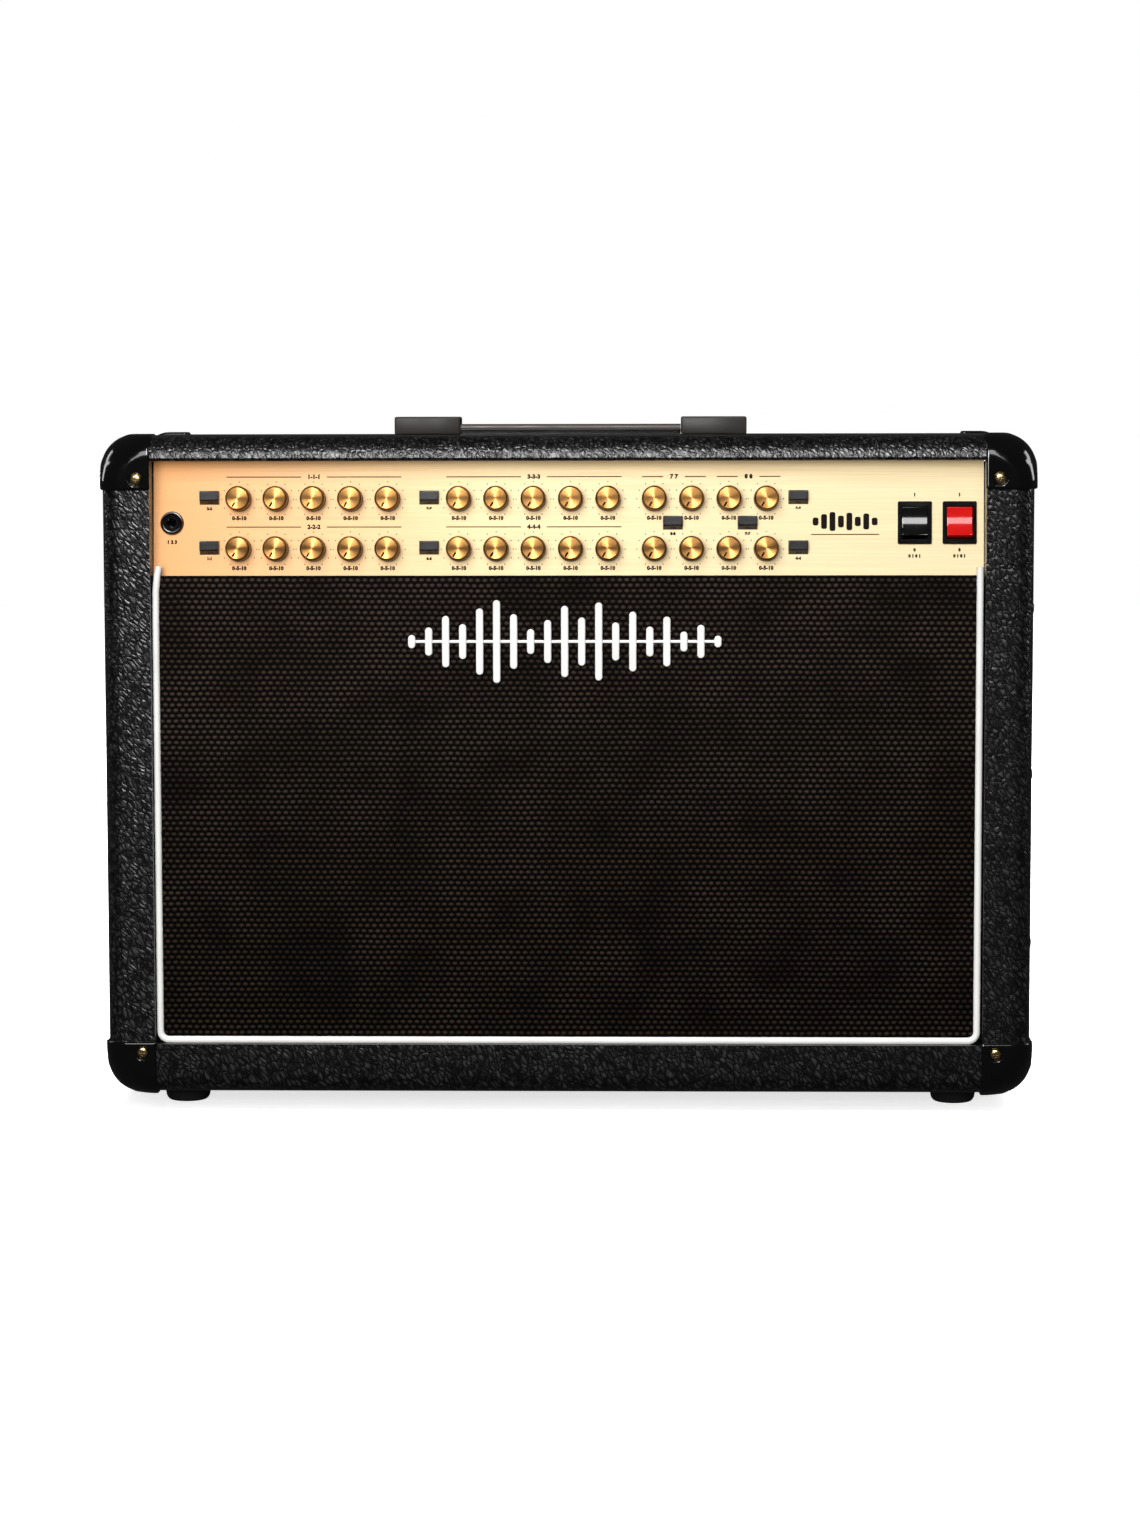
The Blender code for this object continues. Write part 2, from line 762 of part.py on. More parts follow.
def chassis():
    black_steel = material("black_steel", (0.02, 0.02, 0.02), 0.4, 0.5)

    def tray(shape):
        """An open box with no top, whose front wall follows the panel's lean."""
        wide = CHASSIS_HALF_WIDTH
        box(shape, (-wide, 0, CHASSIS_FLOOR), (wide, CHASSIS_REAR, CHASSIS_TOP))
        for vert in shape.verts:
            if vert.co.y < CHASSIS_REAR / 2:
                vert.co.y = panel_back(vert.co.z)
        lids = [face for face in shape.faces if face.calc_center_median().z > CHASSIS_TOP - 0.001]
        bmesh.ops.delete(shape, geom=lids, context="FACES_ONLY")

    base = solid("chassis", tray, black_steel)
    walls = base.modifiers.new("sheet", "SOLIDIFY")
    walls.thickness = SHEET
    walls.offset = -1
    walls.use_even_offset = True

    # Windows let the shafts, buttons, jack and rockers through the front wall.
    def front_windows(shape):
        low, high = PANEL_CENTRE[2] - 0.034, CHASSIS_TOP - 0.003
        for left, right in ((-0.309, -0.122), (-0.116, 0.042), (0.050, 0.182), (0.234, 0.306)):
            box(shape, (left, -0.125, low), (right, -0.085, high))

    cut(base, "front_windows", front_windows)

    def socket_row(shape, inner, outer, radius, wall):
        """Draws a rod for each round socket and a box for the mains inlet, which is deeper."""
        for x in socket_places():
            rod(shape, (x, inner, SOCKET_ROW), (x, outer, SOCKET_ROW), radius, 12)
        wide, tall = (half + wall for half in INLET_HALF)
        deeper = inner - 0.006
        box(
            shape,
            (INLET_X - wide, deeper, SOCKET_ROW - tall),
            (INLET_X + wide, outer, SOCKET_ROW + tall),
        )

    inner = CHASSIS_REAR - SHEET - 0.012
    join(
        base,
        "rear_sockets",
        lambda s: socket_row(s, inner, CHASSIS_REAR + SOCKET_PROUD, SOCKET_RADIUS, 0.002),
    )
    cut(
        base,
        "rear_socket_bores",
        lambda s: socket_row(s, inner + 0.002, CHASSIS_REAR + 0.01, SOCKET_BORE, 0),
    )


def transformers():
    black = material("transformer_steel", (0.025, 0.025, 0.027), 0.4, 0.5)
    top = CHASSIS_FLOOR - FIT
    y = TRANSFORMER_Y
    core_share, cover_share = 0.22, 0.36
    for name, x, width, depth, drop in (
        ("mains_transformer", 0.235, 0.110, 0.092, 0.092),
        ("output_transformer", -0.235, 0.096, 0.080, 0.080),
    ):
        base = solid(
            name,
            lambda s: box(
                s,
                (x - width / 2, y - depth * core_share, top - drop + 0.004),
                (x + width / 2, y + depth * core_share, top - 0.001),
            ),
            black,
        )

        def covers(shape, x=x, width=width, depth=depth, drop=drop):
            box(
                shape,
                (x - width * cover_share, y - depth / 2, top - drop + 0.012),
                (x + width * cover_share, y + depth / 2, top - 0.010),
            )
            bmesh.ops.bevel(
                shape, geom=shape.edges[:], offset=0.010, segments=2, profile=0.5, affect="EDGES"
            )

        def mounting_plate(shape, x=x, width=width, depth=depth):
            half = width / 2 + 0.006
            box(shape, (x - half, y - depth / 2, top - 0.002), (x + half, y + depth / 2, top))

        join(base, f"{name}_covers", covers)
        join(base, f"{name}_plate", mounting_plate)


def power_valves():
    glass = material("valve_glass", (0.25, 0.22, 0.20), 0.1)
    top = CHASSIS_FLOOR - FIT
    y = VALVE_Y
    rail_depth = 0.004
    places = VALVE_PLACES
    rail = solid(
        "power_valves",
        lambda s: box(
            s,
            (places[0] - 0.026, y - 0.021, top - rail_depth),
            (places[-1] + 0.026, y + 0.021, top),
        ),
        glass,
    )
    profile = [
        (0, 0.002), (0.0165, 0.002), (0.0165, -0.020), (0.0148, -0.022), (0.0160, -0.030),
        (0.0160, -0.072), (0.0120, -0.080), (0, -0.084),
    ]
    valve = turned_mesh("power_valve", profile, 14)

    def valves(shape):
        for x in places:
            first = len(shape.verts)
            shape.from_mesh(valve)
            shape.verts.ensure_lookup_table()
            bmesh.ops.translate(shape, vec=(x, y, top - rail_depth), verts=shape.verts[first:])

    join(rail, "valve_bulbs", valves)


# ---------------------------------------------------------------- rear panels

def rear_panels():
    steel = material("guard_steel", (0.02, 0.02, 0.02), 0.4, 0.5)
    vinyl = material("rear_board_vinyl", (0.022, 0.022, 0.023), 0.55)
    half = SIDE - WALL - FIT
    guard = solid(
        "rear_panel_upper",
        lambda s: box(
            s,
            (-half, CHASSIS_REAR - GUARD_THICKNESS, GUARD_LOW),
            (half, CHASSIS_REAR, GUARD_HIGH),
        ),
        steel,
    )

    def vents(shape):
        overrun = 0.01
        for row in VENT_ROWS:
            for index in range(VENT_COUNT):
                x = (index - (VENT_COUNT - 1) / 2) * VENT_PITCH
                box(
                    shape,
                    (x - VENT_WIDTH / 2, CHASSIS_REAR - overrun, row),
                    (x + VENT_WIDTH / 2, CHASSIS_REAR + overrun, row + VENT_HEIGHT),
                )

    cut(guard, "guard_vents", vents)

    solid(
        "rear_panel_lower",
        lambda s: box(
            s,
            (-half, CHASSIS_REAR - REAR_BOARD_THICKNESS, FOOT_HEIGHT + WALL + FIT),
            (half, CHASSIS_REAR, REAR_BOARD_HIGH),
        ),
        vinyl,
    )


def build():
    cabinet_shell()
    feet()
    handle()
    front_boards()
    speakers()
    frame = panel_frame()
    control_panel(frame)
    knobs(frame)
    buttons(frame)
    rockers(frame)
    control_board(frame)
    chassis()
    transformers()
    power_valves()
    rear_panels()


build()
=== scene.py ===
import json
from math import cos, radians, sin, tan, tau

import bmesh
import bpy
from mathutils import Matrix, Vector

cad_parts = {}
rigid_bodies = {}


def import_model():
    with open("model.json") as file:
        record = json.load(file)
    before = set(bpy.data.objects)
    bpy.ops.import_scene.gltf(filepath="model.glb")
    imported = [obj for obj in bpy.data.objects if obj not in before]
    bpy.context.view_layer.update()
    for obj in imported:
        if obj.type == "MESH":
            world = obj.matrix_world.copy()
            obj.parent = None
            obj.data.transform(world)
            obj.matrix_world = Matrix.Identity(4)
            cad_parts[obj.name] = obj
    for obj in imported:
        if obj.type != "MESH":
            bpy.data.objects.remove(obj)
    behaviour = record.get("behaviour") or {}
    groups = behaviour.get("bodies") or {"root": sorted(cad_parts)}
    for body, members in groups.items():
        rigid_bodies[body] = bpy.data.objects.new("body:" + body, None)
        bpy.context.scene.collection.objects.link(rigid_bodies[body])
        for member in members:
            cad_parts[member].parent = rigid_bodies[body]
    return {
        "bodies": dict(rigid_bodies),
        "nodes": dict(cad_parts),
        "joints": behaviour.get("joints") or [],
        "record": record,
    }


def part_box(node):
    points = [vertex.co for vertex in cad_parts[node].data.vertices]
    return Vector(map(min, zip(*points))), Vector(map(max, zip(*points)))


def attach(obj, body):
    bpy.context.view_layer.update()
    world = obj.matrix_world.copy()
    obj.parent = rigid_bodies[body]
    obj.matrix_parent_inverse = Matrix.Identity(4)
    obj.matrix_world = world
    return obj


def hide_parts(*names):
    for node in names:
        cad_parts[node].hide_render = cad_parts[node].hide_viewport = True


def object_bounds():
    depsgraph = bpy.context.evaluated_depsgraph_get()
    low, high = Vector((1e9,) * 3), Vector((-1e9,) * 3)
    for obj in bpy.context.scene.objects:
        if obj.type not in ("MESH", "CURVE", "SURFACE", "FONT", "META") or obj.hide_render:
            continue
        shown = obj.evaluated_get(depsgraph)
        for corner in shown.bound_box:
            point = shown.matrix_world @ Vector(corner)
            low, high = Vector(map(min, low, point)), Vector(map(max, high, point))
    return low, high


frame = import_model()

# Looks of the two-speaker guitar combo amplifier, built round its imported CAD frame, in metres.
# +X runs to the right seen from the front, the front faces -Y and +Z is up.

CAD_BOX = [list(corner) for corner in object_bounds()]
ROOT = "amplifier"
SCENE = bpy.context.scene

# Sizes that the CAD nodes don't state by their boxes
PROUD = 0.0023
TOP_PROUD = 0.0018
RAIL_RADIUS = 0.018
RAIL_LOWER_RADIUS = 0.003
EDGE_RADIUS = 0.014
DEPTH_EDGE_RADIUS = 0.02
FRONT_FRAME_DEPTH = 0.018
WALL = 0.016
FIT = 0.0003
OPENING_TOP = 0.4805
PANEL_LEAN = 5
PANEL_CENTRE = Vector((0, -0.1073, 0.4385))
MIDDLE_ROW = -0.0038

SHELL_LOW, SHELL_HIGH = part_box("cabinet_shell")
SIDE = SHELL_HIGH.x - PROUD
FRONT = SHELL_LOW.y + PROUD
REAR = -FRONT
TOP = SHELL_HIGH.z - TOP_PROUD
BOTTOM = SHELL_LOW.z + PROUD
GRILLE_LOW, GRILLE_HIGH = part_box("grille_panel")
JOINTS = {joint["child"]: joint for joint in frame["joints"]}
OPENINGS = {opening["name"]: opening["box_m"] for opening in frame["record"]["physics"]["openings"]}


def move(*place):
    return Matrix.Translation(place)


def turn(degrees, axis):
    return Matrix.Rotation(radians(degrees), 4, axis)


def facing(direction, place):
    """A matrix that turns Z to a direction and moves to a place."""
    return Matrix.Translation(place) @ Vector(direction).to_track_quat("Z", "Y").to_matrix().to_4x4()


# Turns an outline's (x, y) to (Y, Z), with its thickness along X
ALONG = Matrix(((0, 0, 1, 0), (1, 0, 0, 0), (0, 1, 0, 0), (0, 0, 0, 1)))
# The same, with the outline's x towards the front
OUTWARD = Matrix(((0, 0, 1, 0), (-1, 0, 0, 0), (0, 1, 0, 0), (0, 0, 0, 1)))
# PANEL has the panel's length along X and its height along Z, FACE has its height along Y and Z out of it
PANEL = Matrix.Translation(PANEL_CENTRE) @ turn(-PANEL_LEAN, "X")
FACE = PANEL @ turn(90, "X")


# Drawing meshes

class Shape:
    """Solids drawn together, each with a number that picks its finish."""

    def __init__(self):
        self.mesh = bmesh.new()

    def draw(self, points, faces, finish=0, matrix=Matrix()):
        made = [self.mesh.verts.new(matrix @ Vector(point)) for point in points]
        for face in faces:
            self.mesh.faces.new([made[index] for index in face]).material_index = finish
        return self

    def box(self, low, high, finish=0, matrix=Matrix()):
        ends = tuple(zip(low, high))
        points = [(x, y, z) for x in ends[0] for y in ends[1] for z in ends[2]]
        faces = [(0, 1, 3, 2), (4, 6, 7, 5), (0, 4, 5, 1), (2, 3, 7, 6), (0, 2, 6, 4), (1, 5, 7, 3)]
        return self.draw(points, faces, finish, matrix)

    def turned(self, profile, sides, finish=0, matrix=Matrix()):
        """A closed (radius, height) profile turned round Z. It runs from axis to axis, or is a ring."""
        ring = profile[0][0] > 0 and profile[-1][0] > 0
        points, rows = [], []
        for radius, height in profile:
            count = sides if radius > 0 else 1
            rows.append([len(points) + index % count for index in range(sides)])
            for index in range(count):
                angle = tau * index / sides
                points.append((radius * cos(angle), radius * sin(angle), height))
        pairs = list(zip(rows, rows[1:])) + ([(rows[-1], rows[0])] if ring else [])
        faces = []
        for upper, lower in pairs:
            for index in range(sides):
                after = (index + 1) % sides
                faces.append(list(dict.fromkeys((upper[index], lower[index], lower[after], upper[after]))))
        return self.draw(points, [face for face in faces if len(face) > 2], finish, matrix)

    def prism(self, outline, low, high, finish=0, matrix=Matrix()):
        """A flat outline of (x, y) points given a thickness along Z."""
        count = len(outline)
        points = [(x, y, low) for x, y in outline] + [(x, y, high) for x, y in outline]
        sides = [(i, (i + 1) % count, count + (i + 1) % count, count + i) for i in range(count)]
        faces = [tuple(reversed(range(count))), tuple(range(count, 2 * count)), *sides]
        return self.draw(points, faces, finish, matrix)

    def tube(self, path, radius, sides):
        """A rod that follows the path's points."""
        path = [Vector(point) for point in path]
        points, normal = [], path[1] - path[0]
        normal = normal.normalized().orthogonal().normalized()
        for index, here in enumerate(path):
            ahead = path[min(index + 1, len(path) - 1)] - path[max(index - 1, 0)]
            ahead.normalize()
            normal = (normal - ahead * normal.dot(ahead)).normalized()
            across = ahead.cross(normal)
            for side in range(sides):
                angle = tau * side / sides
                points.append(here + (normal * cos(angle) + across * sin(angle)) * radius)
        last = (len(path) - 1) * sides
        faces = [tuple(reversed(range(sides))), tuple(range(last, last + sides))]
        for row in range(0, last, sides):
            for side in range(sides):
                after = (side + 1) % sides
                faces.append((row + side, row + after, row + sides + after, row + sides + side))
        return self.draw(points, faces)

    def take(self, part, finish=None, matrix=Matrix()):
        """Adds a mesh or another shape."""
        points, faces = len(self.mesh.verts), len(self.mesh.faces)
        self.mesh.from_mesh(solid(part))
        self.mesh.verts.ensure_lookup_table()
        self.mesh.faces.ensure_lookup_table()
        bmesh.ops.transform(self.mesh, matrix=matrix, verts=self.mesh.verts[points:])
        if finish is not None:
            for face in self.mesh.faces[faces:]:
                face.material_index = finish
        return self


def solid(part):
    """The mesh of a shape, whose sides then face out. A mesh stays as it is."""
    if not isinstance(part, Shape):
        return part
    bmesh.ops.recalc_face_normals(part.mesh, faces=part.mesh.faces)
    mesh = bpy.data.meshes.new("part")
    part.mesh.to_mesh(mesh)
    part.mesh.free()
    mesh.shade_smooth()
    return mesh


def loose(name, data):
    made = bpy.data.objects.new(name, data)
    SCENE.collection.objects.link(made)
    return made


def made_with(part, *modifiers):
    """The mesh that these modifiers make of a part."""
    holder = loose("holder", solid(part))
    for kind, settings in modifiers:
        modifier = holder.modifiers.new(kind, kind)
        for key, value in settings.items():
            setattr(modifier, key, value)
    bpy.context.view_layer.update()
    made = bpy.data.meshes.new_from_object(holder.evaluated_get(bpy.context.evaluated_depsgraph_get()))
    bpy.data.objects.remove(holder, do_unlink=True)
    return made


def joined(part, others, **settings):
    """The part after a Boolean with each of the others."""
    holders = [loose("other", solid(other)) for other in others]
    steps = [("BOOLEAN", {"solver": "EXACT", "object": holder, **settings}) for holder in holders]
    made = made_with(part, *steps)
    for holder in holders:
        bpy.data.objects.remove(holder, do_unlink=True)
    made.shade_smooth()
    return made


def cut(part, *cutters):
    return joined(part, cutters, operation="DIFFERENCE")


def united(shape):
    """Overlapping solids of a shape made into one."""
    return joined(shape, [bpy.data.meshes.new("nothing")], operation="UNION", use_self=True)


def rounded(part, width, segments=3, angle=40):
    """The part with its sharp edges rounded."""
    mesh = solid(part)
    mesh.shade_smooth()
    settings = {"width": width, "segments": segments, "harden_normals": True}
    settings.update(limit_method="ANGLE", angle_limit=radians(angle))
    return made_with(mesh, ("BEVEL", settings))


def dress(mesh, finishes):
    """Gives a mesh its finishes. With several, each face keeps the number that picks its own."""
    numbers = [face.material_index for face in mesh.polygons]
    mesh.materials.clear()
    for finish in finishes:
        mesh.materials.append(finish)
    if len(finishes) > 1:
        mesh.polygons.foreach_set("material_index", numbers)


def add(name, part, finishes, body=ROOT, sharp=None, matrix=None, replaces=()):
    """A piece of the amplifier. Edges over the sharp angle, in degrees, stay crisp."""
    mesh = solid(part)
    dress(mesh, finishes if isinstance(finishes, list) else [finishes])
    if sharp is not None:
        mesh.set_sharp_from_angle(angle=radians(sharp))
    piece = loose(name, mesh)
    if matrix is not None:
        piece.matrix_world = matrix
    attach(piece, body)
    if replaces:
        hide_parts(*replaces)
    return piece


def rounded_outline(width, height, radius, steps=5, centre=(0, 0)):
    """The (x, y) points of a rectangle with rounded corners."""
    points = []
    for quarter, (x, y) in enumerate(((1, 1), (-1, 1), (-1, -1), (1, -1))):
        middle = (centre[0] + x * (width / 2 - radius), centre[1] + y * (height / 2 - radius))
        for step in range(steps + 1):
            angle = radians(90) * (quarter + step / steps)
            points.append((middle[0] + radius * cos(angle), middle[1] + radius * sin(angle)))
    return points


def hexagon(radius, start=0.0):
    return [(radius * cos(tau * (i + start) / 6), radius * sin(tau * (i + start) / 6)) for i in range(6)]


def rod(radius, low, high):
    """The profile of a plain rod, to be turned."""
    return [(0, high), (radius, high), (radius, low), (0, low)]


def smoothstep(low, high, value):
    share = min(max((value - low) / (high - low), 0), 1)
    return share * share * (3 - 2 * share)


# Finishes

class Finish:
    """A procedural material, with short ways to add nodes."""

    def __init__(self, name, colour, roughness, metallic=0.0, **sockets):
        self.material = bpy.data.materials.new(name)
        self.material.use_nodes = True
        self.tree = self.material.node_tree
        self.shader = self.tree.nodes["Principled BSDF"]
        self.place = self.node("ShaderNodeTexCoord").outputs["Object"]
        sockets.update(Base_Color=(*colour, 1), Roughness=roughness, Metallic=metallic)
        for socket, value in sockets.items():
            self.set(socket.replace("_", " "), value)

    def feed(self, socket, value):
        if hasattr(value, "is_linked"):
            self.tree.links.new(value, socket)
        else:
            socket.default_value = value

    def set(self, socket, value):
        self.feed(self.shader.inputs[socket], value)

    def node(self, kind, inputs=None, **settings):
        node = self.tree.nodes.new(kind)
        for key, value in settings.items():
            setattr(node, key, value)
        for key, value in (inputs or {}).items():
            self.feed(node.inputs[key], value)
        return node

    def calc(self, operation, first, second=0.0):
        return self.node("ShaderNodeMath", {0: first, 1: second}, operation=operation).outputs[0]

    def times(self, first, second):
        return self.calc("MULTIPLY", first, second)

    def plus(self, first, second):
        return self.calc("ADD", first, second)

    def length(self, first, second):
        return self.calc("SQRT", self.plus(self.times(first, first), self.times(second, second)))

    def stretched(self, scale):
        return self.node("ShaderNodeMapping", {"Vector": self.place, "Scale": scale}).outputs[0]

    def noise(self, scale, detail=3.0, vector=None, distortion=0.0, out="Fac"):
        inputs = {"Vector": vector or self.place, "Scale": scale, "Detail": detail}
        inputs["Distortion"] = distortion
        return self.node("ShaderNodeTexNoise", inputs).outputs[out]

    def axis(self, name):
        return self.node("ShaderNodeSeparateXYZ", {0: self.place}).outputs[name]

    def between(self, value, low, high, to_low=0.0, to_high=1.0):
        inputs = {0: value, 1: low, 2: high, 3: to_low, 4: to_high}
        return self.node("ShaderNodeMapRange", inputs, clamp=True).outputs[0]

    def mixed(self, share, first, second):
        first, second = ((*c, 1) if isinstance(c, tuple) else c for c in (first, second))
        return self.node("ShaderNodeMix", {0: share, 6: first, 7: second}, data_type="RGBA").outputs[2]

    def paint(self, share, first, second):
        self.set("Base Color", self.mixed(share, first, second))

    def bump(self, height, distance, strength=1.0):
        inputs = {"Height": height, "Distance": distance, "Strength": strength}
        self.set("Normal", self.node("ShaderNodeBump", inputs).outputs[0])


def vinyl():
    """Black vinyl with a leather grain of slanting ridges."""
    grain, roughness, specular = 0.00029, 0.28, 0.6
    painted_valley_shade, ridge = (0.0005, 0.0005, 0.0005), (0.032, 0.032, 0.033)
    made = Finish("black_vinyl_cover", ridge, roughness, Specular_IOR_Level=specular)
    warp = {0: made.noise(60.0, 1.0, out="Color"), 1: (0.006, 0.006, 0.006)}
    bend = made.node("ShaderNodeVectorMath", warp, operation="MULTIPLY").outputs[0]
    bent = made.node("ShaderNodeVectorMath", {0: made.place, 1: bend}, operation="ADD").outputs[0]
    slant = {"Vector": bent, "Rotation": (0.25, -0.6, 0.1), "Scale": (1.0, 1.0, 2.4)}
    slanted = made.node("ShaderNodeMapping", slant, vector_type="TEXTURE").outputs[0]
    cells = {"Vector": slanted, "Scale": 330.0}
    edges = made.node("ShaderNodeTexVoronoi", cells, feature="DISTANCE_TO_EDGE").outputs["Distance"]
    ridges = made.between(edges, 0.04, 0.36)
    patches = made.between(made.noise(260.0, 2.0, slanted), 0.36, 0.62, 0.1, 1.0)
    fine = made.noise(1300.0)
    height = made.plus(ridges, made.times(made.noise(170.0, 2.0, slanted), 1.2))
    made.bump(made.plus(height, made.times(fine, 0.12)), grain)
    # The grain's valleys are painted near black and its ridges paler: painted shade in the creases.
    made.paint(made.times(ridges, patches), painted_valley_shade, ridge)
    made.set("Roughness", made.between(fine, 0.3, 0.7, roughness - 0.06, roughness + 0.08))
    return made.material


def plastic(name, colour, roughness, grain=0.00002, scale=1500.0, **sockets):
    """Moulded plastic or rubber with a faint texture and uneven sheen."""
    made = Finish(name, colour, roughness, **sockets)
    made.bump(made.noise(scale), grain, 0.6)
    patches = made.noise(45.0, 4.0)
    made.set("Roughness", made.between(patches, 0.3, 0.7, roughness * 0.8, roughness * 1.25))
    made.paint(patches, tuple(0.8 * part for part in colour), colour)
    return made.material


def metal(name, colour, roughness, brushed=None, scale=700.0, grain=0.00001):
    """Metal, brushed along an axis if one is given."""
    made = Finish(name, colour, roughness, 1.0)
    stretch = [1.0, 1.0, 1.0]
    if brushed is not None:
        stretch[brushed] = 0.02
    lines = made.noise(scale, 4.0, made.stretched(stretch))
    made.set("Roughness", made.between(lines, 0.3, 0.7, roughness * 0.75, roughness * 1.3))
    made.paint(lines, tuple(0.82 * part for part in colour), colour)
    made.bump(lines, grain, 0.5)
    return made.material


def grille_weave():
    """Dark cloth woven in staggered rows, with a raised thread in each whose top is painted pale as a
    highlight.
    """
    thread_pitch, row_pitch = 0.0052, 0.004
    made = Finish("grille_weave", (0.02, 0.017, 0.015), 0.8, Specular_IOR_Level=0.04)
    wobble = made.noise(60.0, 2.0)
    x = made.plus(made.axis("X"), made.times(wobble, 0.001))
    z = made.plus(made.axis("Z"), made.times(wobble, 0.0014))
    row = made.times(z, 1 / row_pitch)
    odd = made.calc("MODULO", made.plus(made.calc("FLOOR", row), 200.0), 2.0)
    column = made.plus(made.times(x, 1 / thread_pitch), made.times(odd, 0.5))
    across, up = (
        made.times(made.calc("SUBTRACT", made.calc("FRACT", value), 0.5), size)
        for value, size in ((column, 2.1), (row, 2.3))
    )
    thread = made.between(made.length(across, up), 0.3, 0.95, 1.0, 0.0)
    uneven_highlight = made.between(made.noise(28.0, 4.0), 0.32, 0.68, 0.35, 1.0)
    made.bump(thread, 0.0011, 0.9)
    # Both colours darken towards the bottom: painted shade, as the light falls from above.
    level = made.between(made.axis("Z"), 0.05, 0.4)
    ground = made.mixed(level, (0.0008, 0.0006, 0.0005), (0.0026, 0.0017, 0.0014))
    pale = made.mixed(level, (0.036, 0.026, 0.019), (0.064, 0.046, 0.038))
    # The pale colour on each thread is a painted highlight, its strength uneven at random.
    made.paint(made.times(thread, uneven_highlight), ground, pale)
    return made.material


def panel_gold():
    """Gold anodised plate, brushed across, with painted light that makes it paler towards the right."""
    made = Finish("panel_gold_brushed", (0.9, 0.7, 0.42), 0.38, 0.1, Specular_IOR_Level=0.3)
    # Painted light and shade: deep orange at the left, pale gold towards the right, as if the plate were
    # lit more brightly on its right.
    painted_light_ramp = made.node("ShaderNodeValToRGB", {"Fac": made.between(made.axis("X"), -0.3, 0.25)})
    stops = painted_light_ramp.color_ramp.elements
    stops.new(0.45)
    for stop, colour in zip(stops, ((0.9, 0.43, 0.165), (0.95, 0.74, 0.42), (0.96, 0.78, 0.47))):
        stop.color = (*colour, 1)
    lines = made.noise(900.0, 3.0, made.stretched((0.012, 1.0, 1.0)))
    made.paint(made.between(lines, 0.35, 0.65, 0.0, 0.16), painted_light_ramp.outputs["Color"], (0.55, 0.33, 0.14))
    made.set("Roughness", made.between(lines, 0.3, 0.7, 0.33, 0.45))
    made.bump(lines, 0.00002, 0.3)
    return made.material


def spun_brass():
    """The face of a knob, spun so that its fine rings spread the light along its radius."""
    brass = (0.82, 0.45, 0.16)
    made = Finish("spun_brass", brass, 0.36, 1.0, Anisotropic=1.0, Anisotropic_Rotation=0.25)
    made.set("Tangent", made.node("ShaderNodeTangent", direction_type="RADIAL", axis="Z").outputs[0])
    radius = made.times(made.length(made.axis("X"), made.axis("Y")), 5200.0)
    rings = made.noise(1.0, 2.0, made.node("ShaderNodeCombineXYZ", {0: radius}).outputs[0])
    made.paint(made.between(rings, 0.3, 0.7), (0.54, 0.22, 0.045), brass)
    made.bump(rings, 0.00002, 0.35)
    return made.material


def birch():
    made = Finish("birch_ply", (0.42, 0.29, 0.17), 0.7)
    grain = made.noise(60.0, 5.0, made.stretched((0.25, 3.0, 3.0)), 0.6)
    made.paint(made.between(grain, 0.3, 0.7), (0.28, 0.18, 0.1), (0.5, 0.36, 0.22))
    made.bump(grain, 0.0002, 0.4)
    return made.material


def bulb_glass():
    made = Finish("valve_bulb_glass", (0.95, 0.95, 0.94), 0.03, Transmission_Weight=1.0, IOR=1.47)
    made.bump(made.noise(60.0, 2.0), 0.0001, 0.2)
    return made.material


VINYL = vinyl()
PLY = birch()
CORNER = plastic("corner_moulding", (0.0016, 0.0016, 0.0018), 0.11, 0.00001, 400.0, Specular_IOR_Level=0.8)
BRASS = metal("screw_brass_plate", (0.85, 0.62, 0.3), 0.22)
STEEL = metal("bright_steel", (0.55, 0.55, 0.56), 0.28)
WEAVE = grille_weave()
WHITE = plastic("white_moulding", (1.0, 0.99, 0.96), 0.35)
GOLD = panel_gold()
KNOB_FACE = spun_brass()
KNOB_SIDE = metal("knob_side_brass", (0.3, 0.15, 0.045), 0.38)
BLACK = plastic("black_moulding", (0.003, 0.003, 0.003), 0.1, Specular_IOR_Level=1.0, Coat_Weight=1.0)
KEY = plastic("button_moulding", (0.01, 0.008, 0.009), 0.2)
RED = plastic("red_moulding", (0.85, 0.01, 0.008), 0.12, Coat_Weight=1.0, Coat_Roughness=0.08)
GLOSS = plastic("gloss_black_moulding", (0.002, 0.002, 0.002), 0.12)
INK = plastic("panel_print", (0.008, 0.004, 0.003), 0.6, Specular_IOR_Level=0.1)
FAINT_INK = plastic("panel_print_fine", (0.13, 0.05, 0.022), 0.6, Specular_IOR_Level=0.1)
CAP = plastic("handle_cap_moulding", (0.026, 0.022, 0.019), 0.55, 0.00006, 900.0)
STRAP = plastic("handle_strap_rubber", (0.052, 0.042, 0.035), 0.42, 0.00006, 700.0)
RUBBER = plastic("foot_rubber_black", (0.01, 0.01, 0.01), 0.75, 0.0001, 500.0)
BOARD = plastic("green_circuit_board", (0.02, 0.12, 0.05), 0.4)
PAINT = plastic("black_wrinkle_paint", (0.012, 0.012, 0.013), 0.48, 0.00018, 700.0)
LAMINATED = metal("transformer_stack", (0.16, 0.15, 0.14), 0.45, 0, 1600.0, 0.0004)
BASKET = plastic("speaker_basket_paint", (0.025, 0.026, 0.03), 0.38, 0.00005, 500.0)
FERRITE = plastic("magnet_ferrite", (0.035, 0.035, 0.037), 0.6, 0.0001, 300.0)
PAPER = plastic("speaker_cone_paper", (0.022, 0.021, 0.02), 0.88, 0.0005, 260.0)
BASE = plastic("valve_base_moulding", (0.02, 0.014, 0.01), 0.45)
ANODE = metal("valve_anode", (0.22, 0.21, 0.2), 0.5)


# Cabinet

